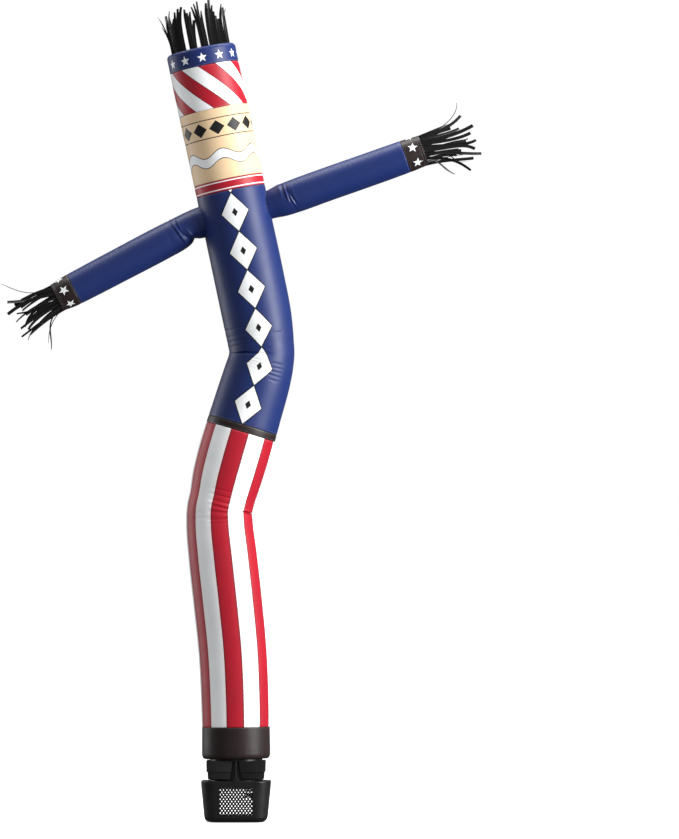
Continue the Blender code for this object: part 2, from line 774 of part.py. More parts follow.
def make_duct_block(number):
    """A stepped block at one corner of the duct: two outer faces, and a round one that hugs the duct."""
    hug = NECK_RADIUS + 0.0035
    arc_steps = 6
    rings = []
    for z, back, end in BLOCK:
        half = BLOCK_HALF - back
        start = math.asin(end / hug)
        angles = [start + (math.pi / 2 - 2 * start) * i / arc_steps for i in range(arc_steps + 1)]
        ring = [Vector((end, half, z)), Vector((half, half, z)), Vector((half, end, z))]
        ring += [Vector((hug * math.cos(a), hug * math.sin(a), z)) for a in angles]
        rings.append(ring)
    bm = bmesh.new()
    loft(bm, rings)
    quarter = Matrix.Rotation(number * math.pi / 2, 3, "Z")
    bmesh.ops.rotate(bm, verts=bm.verts, cent=(0.0, 0.0, 0.0), matrix=quarter)
    add_piece(f"duct_block_{number + 1}", bm, black_plastic, 20.0)


def make_tie_bar(name, side):
    """The upright bar with a clip at each end that holds the duct together, between two blocks."""
    frame = Matrix.Rotation(side * math.pi / 2, 4, "Z")
    near = NECK_RADIUS + 0.0035
    low, high = DECK_TOP + GAP, FLANGE_LOW - GAP
    clip = 0.0110
    merge = 0.0005
    # half width, thickness, low, high
    boxes = [
        (0.0035, 0.0050, low + clip - merge, high - clip + merge),
        (0.0105, 0.0070, low, low + clip),
        (0.0105, 0.0070, high - clip, high),
    ]
    pieces = []
    for number, (half, thick, z0, z1) in enumerate(boxes):
        bm = bmesh.new()
        add_box(bm, (2 * half, thick, z1 - z0), (0.0, -near - thick / 2, (z0 + z1) / 2), frame)
        pieces.append(add_piece(name if number == 0 else f"{name}_clip_{number}", bm, black_plastic))
    for clip_piece in pieces[1:]:
        cut(pieces[0], clip_piece, "UNION")


def make_blower():
    make_housing()
    make_grille("front_grille")
    make_grille("side_grille", [COVER], [fitted_hole(COVER)])
    rocker_hole = (*SWITCH[:2], ROCKER_WIDE + 4 * ROCKER_PLAY, ROCKER_HIGH + 4 * ROCKER_PLAY)
    make_grille("back_grille", [SWITCH, INLET], [rocker_hole, fitted_hole(INLET)])
    make_grille("left_grille")
    make_side_cover()
    make_switch()
    make_inlet_plate()
    make_round_plug()
    make_deck_and_neck()
    for number in range(4):
        make_duct_block(number)
    make_tie_bar("front_tie_bar", 0)
    make_tie_bar("back_tie_bar", 2)


def make_dancer():
    body = body_route()
    make_base_cuff(body)
    make_tube_sections(body)
    make_star_band(body)
    make_top_streamers(body)
    left = Route(LEFT_ARM, LEFT_ARM_CREASES)
    right = Route(RIGHT_ARM, RIGHT_ARM_CREASES)
    make_arm("left", left, body, seed=5, droop=0.045)
    make_arm("right", right, body, seed=9, droop=0.030)


clear_scene()
helper = finish("helper", (0.5, 0.5, 0.5), 0.5)
navy_cloth = finish("navy_cloth", (0.022, 0.045, 0.200), 0.42)
striped_cloth = finish("striped_cloth", (0.55, 0.020, 0.040), 0.42)
red_cloth = finish("red_cloth", (0.55, 0.020, 0.040), 0.42)
cream_cloth = finish("cream_cloth", (0.86, 0.70, 0.50), 0.45)
dark_cloth = finish("dark_cloth", (0.030, 0.022, 0.020), 0.42)
black_cloth = finish("black_cloth", (0.010, 0.010, 0.010), 0.45)
black_plastic = finish("black_plastic", (0.020, 0.020, 0.021), 0.42)
switch_plastic = finish("switch_plastic", (0.012, 0.012, 0.013), 0.30)
rubber = finish("rubber", (0.010, 0.010, 0.010), 0.80)
make_blower()
make_dancer()
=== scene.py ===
# %% [markdown]
# # An inflatable air dancer on its blower
#
# The real thing is a tube of coated nylon, three metres tall, that a blower keeps full of moving air.
# It is light cloth under pressure, so it stays round, and it folds only where the tube buckles.
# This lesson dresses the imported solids: every cloth length becomes a thin skin with its seams, folds and
# print, and the blower gets its fine nets, soft edges and moulded grain.
# Each shape is worked out as a formula on a grid, because a tube is nothing but a ring carried along a line.

import math

import bmesh
import bpy
import numpy as np
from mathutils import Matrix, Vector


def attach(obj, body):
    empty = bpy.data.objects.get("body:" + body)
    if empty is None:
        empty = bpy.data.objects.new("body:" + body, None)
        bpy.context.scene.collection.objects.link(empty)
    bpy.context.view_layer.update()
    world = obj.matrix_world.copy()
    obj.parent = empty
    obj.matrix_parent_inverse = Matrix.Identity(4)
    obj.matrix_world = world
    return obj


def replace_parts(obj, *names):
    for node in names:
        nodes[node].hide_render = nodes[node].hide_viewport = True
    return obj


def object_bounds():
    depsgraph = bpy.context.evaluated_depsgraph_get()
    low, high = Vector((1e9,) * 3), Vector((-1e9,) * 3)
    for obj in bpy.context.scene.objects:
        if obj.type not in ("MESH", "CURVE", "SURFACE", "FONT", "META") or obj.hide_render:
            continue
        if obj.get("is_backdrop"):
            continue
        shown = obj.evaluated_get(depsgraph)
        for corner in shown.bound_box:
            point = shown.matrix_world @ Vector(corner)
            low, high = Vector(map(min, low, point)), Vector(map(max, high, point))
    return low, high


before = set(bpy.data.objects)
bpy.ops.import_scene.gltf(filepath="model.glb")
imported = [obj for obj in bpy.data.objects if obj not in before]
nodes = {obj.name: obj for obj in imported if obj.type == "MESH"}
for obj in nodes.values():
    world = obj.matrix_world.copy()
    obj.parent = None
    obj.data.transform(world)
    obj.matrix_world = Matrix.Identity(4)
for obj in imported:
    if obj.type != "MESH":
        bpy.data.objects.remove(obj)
cad_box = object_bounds()


def put_in_scene(name, data):
    """A new object that holds the data, linked to the scene."""
    piece = bpy.data.objects.new(name, data)
    bpy.context.scene.collection.objects.link(piece)
    return piece


print("nodes:", len(nodes), "CAD box:", [tuple(round(x, 3) for x in corner) for corner in cad_box])

# %% [markdown]
# ## The camera
#
# The picture was taken from far away with a long lens: rings high on the tube bulge only a little upwards,
# and the deck of the blower is seen from a degree or two above. Both together place the eye 0.87 m over the
# floor and about 24 m away. A long lens on a camera that far off gives the same flat look.

# %% Camera
PICTURE_HIGH = 3.104
EYE = np.array([0.3817, -24.0, 0.87])
LOOK_AT = np.array([0.3817, 0.0, 1.486])

camera = put_in_scene("camera", bpy.data.cameras.new("camera"))
reach = float(np.linalg.norm(LOOK_AT - EYE))
camera.data.sensor_width = 36.0
camera.data.lens = 36.0 * reach / PICTURE_HIGH
camera.data.clip_end = 200.0
camera.location = EYE
pitch = math.asin((LOOK_AT[2] - EYE[2]) / reach)
camera.rotation_euler = (math.pi / 2 + pitch, 0.0, 0.0)
bpy.context.scene.camera = camera
print(f"camera {reach:.2f} m away, lens {camera.data.lens:.0f} mm")
print(f"looking up {math.degrees(pitch):.1f} degrees")

# %% [markdown]
# ## The line of the tube
#
# A sewn tube has one middle line and a half width at each height. Both are short tables, one row for each
# place where the tube changes, and a smooth cubic runs between the rows. The arms have tables of that kind.

# %% Tables of the tube and the arms
# height, sideways, half width
SPINE = np.array([
    (0.230, 0.0000, 0.1240), (0.450, -0.0030, 0.1268), (0.631, -0.0115, 0.1279),
    (0.809, -0.0290, 0.1290), (0.986, -0.0485, 0.1287), (1.098, -0.0596, 0.1256),
    (1.148, -0.0602, 0.1238), (1.196, -0.0503, 0.1237), (1.2525, -0.0372, 0.1291),
    (1.341, -0.0130, 0.1330), (1.519, 0.0396, 0.1296), (1.640, 0.0759, 0.1261),
    (1.690, 0.0892, 0.1225), (1.728, 0.0960, 0.1190), (1.775, 0.0905, 0.1225),
    (1.850, 0.0792, 0.1270), (2.007, 0.0480, 0.1290), (2.250, -0.0040, 0.1285),
    (2.496, -0.0565, 0.1290), (2.673, -0.0948, 0.1290), (2.857, -0.1330, 0.1290),
])
# distance from the body, sideways, height, half width
LEFT_ARM = np.array([
    (0.000, -0.040, 2.246, 0.054), (0.060, -0.096, 2.228, 0.056), (0.100, -0.134, 2.214, 0.058),
    (0.140, -0.170, 2.197, 0.059), (0.178, -0.204, 2.178, 0.061), (0.260, -0.276, 2.140, 0.0625),
    (0.450, -0.443, 2.052, 0.0620), (0.600, -0.576, 1.982, 0.0605), (0.655, -0.624, 1.957, 0.0590),
    (0.700, -0.664, 1.936, 0.0530),
])
RIGHT_ARM = np.array([
    (0.000, 0.040, 2.250, 0.048), (0.055, 0.092, 2.269, 0.050), (0.095, 0.129, 2.283, 0.053),
    (0.130, 0.163, 2.295, 0.0590), (0.180, 0.211, 2.312, 0.0615), (0.300, 0.324, 2.353, 0.0620),
    (0.450, 0.466, 2.403, 0.0620), (0.575, 0.584, 2.445, 0.0615), (0.640, 0.645, 2.467, 0.0605),
    (0.690, 0.692, 2.484, 0.0570),
])
# where one length is sewn to the next
CUFF_TOP, BELT_LOW, BELT_TOP = 0.350, 1.440, 1.466
BODY_TOP, COLLAR_TOP, HEAD_TOP, STRIPE_TOP, CROWN_TOP = 2.330, 2.372, 2.629, 2.789, 2.857
WRIST_LENGTH, WALL = 0.072, 0.0011
SEAM_GAP = 0.00015
ROUND_BODY, ROUND_ARM = 2 * math.pi * 0.127, 2 * math.pi * 0.061
print("rows in the spine:", len(SPINE), "rows in the arms:", len(LEFT_ARM), len(RIGHT_ARM))

# %% [markdown]
# ## Folds
#
# An inflated tube bends by buckling: the short side folds into a deep crease, and fine wrinkles fan out
# beside it where cloth is left over. Each row below is one such crease or wrinkle. Places and depths are
# in millimetres. A crease is sharp, and on the body it has a soft roll on both sides. A wrinkle is a soft
# trough, or a ridge where its depth is negative, and it may run askew round the tube.

# %% Tables of the folds
MILLIMETRES = 1000.0
FOLD_UNITS = (MILLIMETRES, 1.0, MILLIMETRES, MILLIMETRES, 1.0, MILLIMETRES)


def in_metres(rows):
    """Rows of millimetres and degrees, with the millimetres turned into metres."""
    return [tuple(value / unit for value, unit in zip(row, FOLD_UNITS)) for row in rows]


# place along, side in degrees (0 right, -90 front, 180 left), depth, half length, spread in degrees
BODY_CREASES = in_metres([
    (1158, -8, 10, 3.2, 64), (1729, -166, 15.5, 5.2, 70),
])
# place along, side, depth, half length, spread, rise for each turn of 90 degrees round
BODY_WRINKLES = in_metres([
    (1221, -88, 1.2, 3.2, 30, 2), (1200, -86, 1.8, 3.6, 34, -3), (1179, -84, 2.2, 3.6, 30, -4),
    (1158.5, -82, 2.6, 3.6, 26, -14), (1141.5, -84, 2.4, 4.6, 28, 2), (1115, -86, 1.8, 3.6, 30, 2),
    (1101, -90, 0.9, 4, 26, 0), (1169, -90, -1.4, 3.6, 24, -4), (1150, -88, -1.4, 3.4, 22, -10),
    (1127, -80, -1.2, 3.6, 24, 2), (1123, -122, 1.2, 5, 22, 2), (1138, -126, 0.8, 6, 20, 2),
    (1213, -58, 0.7, 3.4, 16, -2), (1191, -57, 0.9, 3.4, 16, -2), (1174, -55, 0.9, 3.4, 15, -2),
    (1133, 4, 1.2, 6, 40, 0), (1172, 6, 1.4, 6, 40, 0), (1145, 60, 1.6, 4.5, 30, 4),
    (1164, 64, 1.4, 4.5, 26, -4), (1126, 66, 1, 4.5, 26, 4), (1832, -152, 1.6, 4.5, 40, 2),
    (1806, -150, 1.3, 4, 36, 3), (1786, -148, 1.8, 4, 36, 2), (1769, -150, 1.9, 4, 34, 2),
    (1750, -160, 1.6, 4, 34, 0), (1712, -158, 1.2, 5, 36, 0), (1828, -92, 0.9, 4.5, 26, -1),
    (1806, -90, 1.1, 4.5, 26, 1), (1795, -88, 0.9, 3.5, 26, -2), (1770, -96, 1, 4, 26, 0),
    (1745, -94, 1.2, 4, 24, 0), (1727, -96, 3, 3.4, 26, 0), (1700, -88, 1.8, 3.6, 28, -22),
    (1688, -86, 2, 3.6, 28, -22), (1678, -86, 1.6, 3.6, 28, -20), (1666, -84, 1.2, 4, 24, -18),
    (1796, -56, 1.4, 3, 14, 0), (1702, -58, 1.6, 3.6, 18, 0), (1687, -59, 1.5, 3.6, 18, 0),
    (1674, -60, 1.4, 3.6, 17, 0), (1660, -60, 1.2, 3.6, 17, 0), (1644, -60, 1.2, 3.4, 12, 0),
    (1735, 128, 3, 4.5, 34, 6), (1715, 120, 1.6, 4.5, 28, 10), (1756, 122, 1.6, 4.5, 28, -8),
])
LEFT_CREASES = in_metres([
    (144, 180, 18.5, 17, 58),
])
LEFT_WRINKLES = in_metres([
    (185, -97, -3.6, 3.4, 62, 12.8), (173.5, -65, -3, 2.6, 34, -13), (178.5, -72, 3.6, 2.6, 40, 1),
    (161, -137, 5, 6, 52, 34), (196, -80, 1.6, 5, 46, 8), (152, -118, -2.4, 5, 40, 20),
    (120, -60, 1, 6, 36, 10), (118, -128, -2.4, 7, 40, 0), (170, 120, 2.6, 5, 50, -20),
    (226, -96, 0.6, 7, 40, 0), (204, 0, 0.8, 6, 40, 0),
])
RIGHT_WRINKLES = in_metres([
    (158.5, -112, -4, 2.4, 44, -2), (165, -112, 3.6, 2.6, 46, -2), (169.5, -80, -2.2, 2.4, 30, 24),
    (176, -80, 2.4, 2.8, 34, 22), (150, -126, 2.2, 3.6, 40, -2), (138, -140, -2.2, 6, 46, 0),
    (183, -104, -1, 5, 40, 6), (160, 90, 2.2, 4, 46, 4), (172, -40, 1.2, 5, 30, 10),
])
body_folds = len(BODY_CREASES + BODY_WRINKLES)
arm_folds = len(LEFT_CREASES + LEFT_WRINKLES + RIGHT_WRINKLES)
print("folds:", body_folds, "on the body and", arm_folds, "on the arms")

# %% The tube as a formula
# a crease's bottom is rounded by this much, and only one shorter than this rolls beside it
BOTTOM_ROUND, ROLL_LIMIT = 0.0008, 0.01
# the roll's share of the depth, then its distance and its width as shares of the crease's half length
ROLL, ROLL_AT, ROLL_WIDE = 0.22, 3.2, 1.8


def smooth(knots, values, t):
    """Cubic between the rows.

    The slope at a row is the mean of the slopes beside it, the nearer one counting more.
    """
    slope = np.gradient(values, knots)
    i = np.clip(np.searchsorted(knots, t, side="right") - 1, 0, len(knots) - 2)
    step = knots[i + 1] - knots[i]
    u = (t - knots[i]) / step
    start = (2 * u**3 - 3 * u**2 + 1) * values[i] + (3 * u**2 - 2 * u**3) * values[i + 1]
    return start + step * ((u**3 - 2 * u**2 + u) * slope[i] + (u**3 - u**2) * slope[i + 1])


def window(turned, spread):
    """How much of a fold shows at an angle: a cosine, one on its own side and nothing past its spread."""
    return np.cos(np.pi / 2 * np.minimum(1.0, np.abs(turned) / spread)) ** 0.8


class Tube:
    """A round tube: a middle line in the plane of the picture, and a half width less its folds."""

    def __init__(self, t, sideways, up, half, creases=(), wrinkles=()):
        self.t, self.sideways, self.up, self.half = t, sideways, up, half
        self.creases, self.wrinkles = creases, wrinkles

    def middle(self, t):
        """The point on the line, with no depth."""
        return np.stack([smooth(self.t, self.sideways, t), 0 * t, smooth(self.t, self.up, t)], axis=-1)

    def along(self, t):
        """The middle line's direction: the difference of two near points, made one long."""
        step = self.middle(t + 0.002) - self.middle(t - 0.002)
        return step / np.linalg.norm(step, axis=-1, keepdims=True)

    def across(self, t):
        """The direction at a right angle to the line in the picture's plane."""
        a = self.along(t)
        return np.stack([a[..., 2], 0 * t, -a[..., 0]], axis=-1)

    def relief(self, t, angle):
        """All folds: a crease is e to the minus distance with a roll each side, a wrinkle is a soft bell."""
        side = np.degrees(angle)
        sunk = 0.0 * t * angle
        for at, middle_side, depth, half, spread in self.creases:
            turned = (side - middle_side + 180.0) % 360.0 - 180.0
            d = np.abs(t - at)
            trough = np.exp(-np.sqrt(d**2 + BOTTOM_ROUND**2) / half)
            roll = ROLL * np.exp(-(((d - ROLL_AT * half) / (ROLL_WIDE * half)) ** 2)) * (half < ROLL_LIMIT)
            sunk = sunk + depth * (trough - roll) * window(turned, spread)
        for at, middle_side, depth, half, spread, rise in self.wrinkles:
            turned = (side - middle_side + 180.0) % 360.0 - 180.0
            d = t - at - rise * turned / 90.0
            sunk = sunk + depth * np.exp(-((d / half) ** 2)) * window(turned, spread)
        return sunk

    def radius(self, t, angle):
        """The half width less the folds."""
        return smooth(self.t, self.half, t) - self.relief(t, angle)

    def point(self, t, angle, radius):
        """The middle, plus the radius times cosine across and sine towards the back."""
        across = self.across(t)
        flat = self.middle(t) + across * (radius * np.cos(angle))[..., None]
        return flat + np.stack([0 * angle * t, radius * np.sin(angle) + 0 * t, 0 * angle * t], axis=-1)


body = Tube(SPINE[:, 0], SPINE[:, 1], SPINE[:, 0], SPINE[:, 2], BODY_CREASES, BODY_WRINKLES)
left = Tube(*LEFT_ARM.T, LEFT_CREASES, LEFT_WRINKLES)
right = Tube(*RIGHT_ARM.T, (), RIGHT_WRINKLES)
print("half width at the knee:", np.round(body.radius(np.array(1.15), np.radians([0.0, -90.0, 180.0])), 4))

# %% [markdown]
# ## A closed skin from loops
#
# Cloth has two faces and an edge. A skin is made here as loops carried up the outside and back down the
# inside, so that it is closed like a very flat bag. The first UV map, cloth, holds turns round the tube and
# metres along it, which is how a print is measured. The second lays the two faces side by side without
# overlap, so that a texture can be baked from it.

# %% Skins and pieces
def add_mesh(name, points, faces, material, smooth_faces=True):
    """Points and four-cornered faces as arrays, put into a new mesh at the origin."""
    mesh = bpy.data.meshes.new(name)
    mesh.vertices.add(len(points))
    mesh.vertices.foreach_set("co", np.asarray(points, np.float32).ravel())
    corners = faces.shape[1]
    mesh.loops.add(faces.size)
    mesh.loops.foreach_set("vertex_index", faces.astype(np.int32).ravel())
    mesh.polygons.add(len(faces))
    mesh.polygons.foreach_set("loop_start", np.arange(0, faces.size, corners, dtype=np.int32))
    mesh.update(calc_edges=True)
    mesh.polygons.foreach_set("use_smooth", np.full(len(faces), smooth_faces))
    mesh.materials.append(material)
    return put_in_scene(name, mesh)


def add_uv(piece, name, uv):
    """One pair of numbers for each face corner."""
    piece.data.uv_layers.new(name=name)
    piece.data.uv_layers[name].uv.foreach_set("vector", uv.astype(np.float32).ravel())


def four_corners(row, col, up, over, cols):
    """The points at the corners of each cell, where the points are counted row after row."""
    return np.stack([row * cols + col, row * cols + over, up * cols + over, up * cols + col], axis=-1)


def skin(name, outer, inner, along, material):
    """Loops up the outside, then down the inside, each joined to the next and the last to the first."""
    rows, cols = outer.shape[:2]
    loops = np.concatenate([outer, inner[::-1]])
    row, col = np.meshgrid(np.arange(2 * rows), np.arange(cols), indexing="ij")
    up, over = (row + 1) % (2 * rows), (col + 1) % cols
    faces = four_corners(row, col, up, over, cols)
    piece = add_mesh(name, loops.reshape(-1, 3), faces.reshape(-1, 4), material)

    along = np.broadcast_to(along, (rows, cols))
    v = np.concatenate([along, along[::-1]])
    turn = np.stack([col, col + 1, col + 1, col], axis=-1) / cols
    metres = np.stack([v[row, col], v[row, over], v[up, over], v[up, col]], axis=-1)
    add_uv(piece, "cloth", np.stack([turn, metres], axis=-1).reshape(-1, 2))

    # second map: the outside fills four fifths of it, the inside most of the rest, and each edge a thin line
    share = (v - v.min()) / (v.max() - v.min())
    low, high = share[row, col], share[up, col]
    outside, top, inside = row < rows - 1, row == rows - 1, (row >= rows) & (row < 2 * rows - 1)
    start = np.select([outside, top, inside], [0.78 * low, 0.965, 0.80 + 0.15 * low], 0.980)
    stop = np.select([outside, top, inside], [0.78 * high, 0.975, 0.80 + 0.15 * high], 0.990)
    place = np.stack([start, start, stop, stop], axis=-1)
    add_uv(piece, "OFBake", np.stack([0.004 + 0.992 * turn, place + 0.002], axis=-1).reshape(-1, 2))
    return piece


def dense_rows(low, high, step, near, fine):
    """Evenly spaced places, with finer ones wherever a fold or a seam is near."""
    places = [np.linspace(low, high, max(2, int(round((high - low) / step)) + 1))]
    for at, reach in near:
        places.append(np.arange(max(low, at - reach), min(high, at + reach), fine))
    ends = np.array([0.0006, 0.0014, 0.0026, 0.0042, 0.0065, 0.0100])
    places += [low + ends, high - ends]
    found = np.unique(np.round(np.concatenate(places), 5))
    keep = np.concatenate([[True], np.diff(found) > 0.0004])
    found = found[keep]
    found[-1] = high
    return found


SEAM_DEEP, SEAM_FADE, PUCKER_DEEP, PUCKER_FADE = 0.0015, 0.0022, 0.00030, 0.0080


def seam_pull(t, low, high, angle, count):
    """A seam pulls the cloth in by 1.5 mm and gathers it in small uneven puckers that fade within a thumb."""
    near = np.minimum(t - low, high - t)
    uneven = np.sin(count * angle) + 0.6 * np.sin((count * 2 + 3) * angle + 1.3)
    return SEAM_DEEP * np.exp(-near / SEAM_FADE) + PUCKER_DEEP * uneven * np.exp(-near / PUCKER_FADE)


print("helpers ready")

# %% [markdown]
# ## Materials that read like formulas
#
# The print on the cloth is worked out from the cloth map: turns round and metres along. Material nodes do
# the sums, and this small class lets them be written like ordinary arithmetic.

# %% Arithmetic on nodes
class Wire:
    """A number that flows between nodes."""

    def __init__(self, tree, socket):
        self.tree, self.socket = tree, socket

    def math(self, operation, *others):
        node = self.tree.nodes.new("ShaderNodeMath")
        node.operation = operation
        for slot, value in zip(node.inputs, (self, *others)):
            if isinstance(value, Wire):
                self.tree.links.new(value.socket, slot)
            else:
                slot.default_value = value
        return Wire(self.tree, node.outputs[0])

    def __add__(self, other):
        return self.math("ADD", other)

    def __sub__(self, other):
        return self.math("SUBTRACT", other)

    def __mul__(self, other):
        return self.math("MULTIPLY", other)

    def __lt__(self, other):
        return self.math("LESS_THAN", other)

    def __gt__(self, other):
        return self.math("GREATER_THAN", other)

    def size(self):
        return self.math("ABSOLUTE")

    def wave(self):
        return self.math("COSINE")

    def ramp(self, low, high):
        """0 below low, 1 above high, and a soft S between them."""
        node = self.tree.nodes.new("ShaderNodeMapRange")
        node.interpolation_type = "SMOOTHSTEP"
        self.tree.links.new(self.socket, node.inputs["Value"])
        node.inputs["From Min"].default_value = low
        node.inputs["From Max"].default_value = high
        return Wire(self.tree, node.outputs["Result"])


def mix(tree, share, first, second):
    """Second over first by a share. Each is a colour or a colour socket."""
    node = tree.nodes.new("ShaderNodeMix")
    node.data_type = "RGBA"
    if isinstance(share, Wire):
        tree.links.new(share.socket, node.inputs["Factor"])
    else:
        node.inputs["Factor"].default_value = share
    for slot, value in ((node.inputs[6], first), (node.inputs[7], second)):
        if isinstance(value, tuple):
            slot.default_value = (*value, 1.0)
        else:
            tree.links.new(value, slot)
    return node.outputs[2]


def noise(tree, coordinates, scale, detail=3.0):
    node = tree.nodes.new("ShaderNodeTexNoise")
    node.inputs["Scale"].default_value = scale
    node.inputs["Detail"].default_value = detail
    tree.links.new(coordinates, node.inputs["Vector"])
    return Wire(tree, node.outputs["Fac"])


def add_bump(tree, shader, height, strength, distance):
    """Tilts the surface as a relief of this height would, without moving it."""
    bump = tree.nodes.new("ShaderNodeBump")
    bump.inputs["Strength"].default_value = strength
    bump.inputs["Distance"].default_value = distance
    tree.links.new(height.socket, bump.inputs["Height"])
    tree.links.new(bump.outputs["Normal"], shader.inputs["Normal"])


def new_material(name):
    material = bpy.data.materials.new(name)
    material.use_nodes = True
    tree = material.node_tree
    return material, tree, tree.nodes["Principled BSDF"]


print("a stripe, for example, is the cosine of the turns, compared with nothing")

# %% [markdown]
# ## Coated nylon
#
# The cloth is thin nylon with a coating on one face. Seen close it is a fine plain weave, and from a step
# away it is a smooth satin that shows one soft band of light. So the weave is only a very low bump, and the
# shine is one broad highlight. Stitches run beside each seam.

# %% The cloth finish
NAVY = (0.0055, 0.0195, 0.1200)
RED = (0.3850, 0.0022, 0.0150)
DEEP_RED = (0.1500, 0.0035, 0.0120)
WHITE = (0.8200, 0.8350, 0.8350)
ROSE_WHITE = (0.8800, 0.7600, 0.7500)
CREAM = (0.7600, 0.5500, 0.3300)
DARK = (0.0185, 0.0095, 0.0090)
INK = (0.0080, 0.0075, 0.0085)
BLACK = (0.0045, 0.0045, 0.0048)
# length of a stitch, its distance from the seam, half its thickness, and the pitch of the weave
STITCH, STITCH_OFF, STITCH_THIN, WEAVE = 0.0042, 0.0040, 0.00045, 0.0009
TUBE_ROUND = 0.80


def cloth(name, print_colour, seams=(), around=TUBE_ROUND, rough=0.46, mirror=0.36):
    """Print, thread, weave and shine. print_colour(tree, turns, metres) gives the colour's socket."""
    material, tree, shader = new_material(name)
    uv = tree.nodes.new("ShaderNodeUVMap")
    uv.uv_map = "cloth"
    parts = tree.nodes.new("ShaderNodeSeparateXYZ")
    tree.links.new(uv.outputs["UV"], parts.inputs[0])
    turns, metres = Wire(tree, parts.outputs[0]), Wire(tree, parts.outputs[1])
    place = tree.nodes.new("ShaderNodeTexCoord").outputs["Object"]
    colour = print_colour(tree, turns, metres)

    # thread: short stitches 4 mm from each seam
    stitched = None
    for seam in seams:
        line = ((metres - seam).size() - STITCH_OFF).size() < STITCH_THIN
        dash = (turns * (2 * math.pi * around / STITCH)).wave() > -0.35
        stitched = line * dash if stitched is None else stitched.math("MAXIMUM", line * dash)
    if stitched is not None:
        colour = mix(tree, stitched * 0.30, colour, (0.40, 0.40, 0.41))

    # slow unevenness of the dye, and the darker line of the seam itself
    mottle = noise(tree, place, 7.0).ramp(0.30, 0.75)
    colour = mix(tree, mottle * 0.10, colour, (0.02, 0.02, 0.025))
    for seam in seams:
        colour = mix(tree, ((metres - seam).size() < 0.0009) * 0.5, colour, (0.01, 0.01, 0.012))
    tree.links.new(colour, shader.inputs["Base Color"])
    shine = noise(tree, place, 16.0)
    tree.links.new((shine * 0.12 + (rough - 0.06)).socket, shader.inputs["Roughness"])
    shader.inputs["Specular IOR Level"].default_value = mirror
    shader.inputs["Sheen Weight"].default_value = 0.012
    shader.inputs["Sheen Roughness"].default_value = 0.4

    # weave: threads 0.9 mm apart both ways, and a slack that only just shows in the highlight
    threads = (turns * (2 * math.pi * around / WEAVE)).wave() + (metres * (2 * math.pi / WEAVE)).wave()
    slack = noise(tree, place, 26.0, 2.0)
    height = threads * 0.02 + slack * 0.65
    if stitched is not None:
        height = height + stitched * 0.25
    add_bump(tree, shader, height, 0.35, 0.0012)
    return material


print("navy, red and dark dyes:", NAVY, RED, DARK)

# %% [markdown]
# ## The prints
#
# All prints are common patterns. Lengthwise stripes are the sign of a cosine of the turns. A lozenge is the
# set of places whose distances along both its axes add up to less than one. A five-pointed star is a wedge
# repeated five times round: in each wedge, one straight line parts inside from outside.

# %% Patterns
LOZENGE_AT, LOZENGE_PITCH, LOZENGE_WIDE, LOZENGE_HIGH = 1.537, 0.142, 0.052, 0.071
# heights of the row of gems, the ribbon and the stars, then the sizes of the stars
GEM_ROW, RIBBON_ROW, STAR_ROW, STAR_SIZE, WRIST_STAR = 2.560, 2.452, 2.8175, 0.0185, 0.0195


def cell(wire, pitch):
    """Distance from the nearest multiple of the pitch, with its sign."""
    return wire - (wire * (1.0 / pitch)).math("ROUND") * pitch


def star_mask(tree, x, y, size):
    """Inside a star with a tip along y: r times the cosine of the folded angle, less the edge's line."""
    fifth, inner = math.pi / 5, 0.42
    tip, notch = np.array([1.0, 0.0]), inner * np.array([math.cos(fifth), math.sin(fifth)])
    edge = notch - tip
    normal = np.array([edge[1], -edge[0]]) / np.hypot(*edge)
    far = float(normal @ tip)
    turned = x.math("ARCTAN2", y)
    folded = cell(turned, 2 * fifth).size()
    r = (x * x + y * y).math("SQRT") * (1.0 / size)
    out = r * (folded.wave() * float(normal[0]) + folded.math("SINE") * float(normal[1]))
    return out < far


def striped(tree, turns, metres):
    """Twelve lengthwise stripes, a red one in front, each with a deeper and a paler edge."""
    wave = ((turns - 0.5) * (12 * math.pi)).wave()
    near = wave.size().math("ARCSINE") * (0.127 / 6)
    reds = mix(tree, near.ramp(0.0015, 0.0065), DEEP_RED, RED)
    whites = mix(tree, near.ramp(0.0040, 0.0085), ROSE_WHITE, WHITE)
    return mix(tree, wave > 0.0, whites, reds)


def candy(tree, turns, metres):
    """Slanting red and white stripes that climb once round the tube."""
    wave = ((turns * 12.0 + metres * (12.0 / TUBE_ROUND)) * math.pi).wave()
    near = wave.size().math("ARCSINE") * 0.0150
    reds = mix(tree, near.ramp(0.0010, 0.0040), DEEP_RED, RED)
    return mix(tree, wave > 0.0, WHITE, reds)


def plain(colour):
    """One dye all over."""

    def dyed(tree, turns, metres):
        return mix(tree, 0.0, colour, colour)

    return dyed


def lozenges(tree, turns, metres):
    """White lozenges in a chain up the front and the back, outlined in black, a black diamond in each."""
    side = cell(turns - 0.5, 0.5) * TUBE_ROUND
    up = cell(metres - LOZENGE_AT, LOZENGE_PITCH)
    far = side.size() * (1 / LOZENGE_WIDE) + up.size() * (1 / LOZENGE_HIGH)
    small = side.size() * (1 / 0.011) + up.size() * (1 / 0.016)
    colour = mix(tree, far < 1.07, NAVY, INK)
    colour = mix(tree, far < 0.97, colour, WHITE)
    return mix(tree, small < 1.0, colour, INK)


def edged(tree, turns, metres):
    """Red with a white line near each edge."""
    middle = (BODY_TOP + COLLAR_TOP) / 2
    line = ((metres - middle).size() - 0.0135).size() < 0.0019
    return mix(tree, line, RED, WHITE)


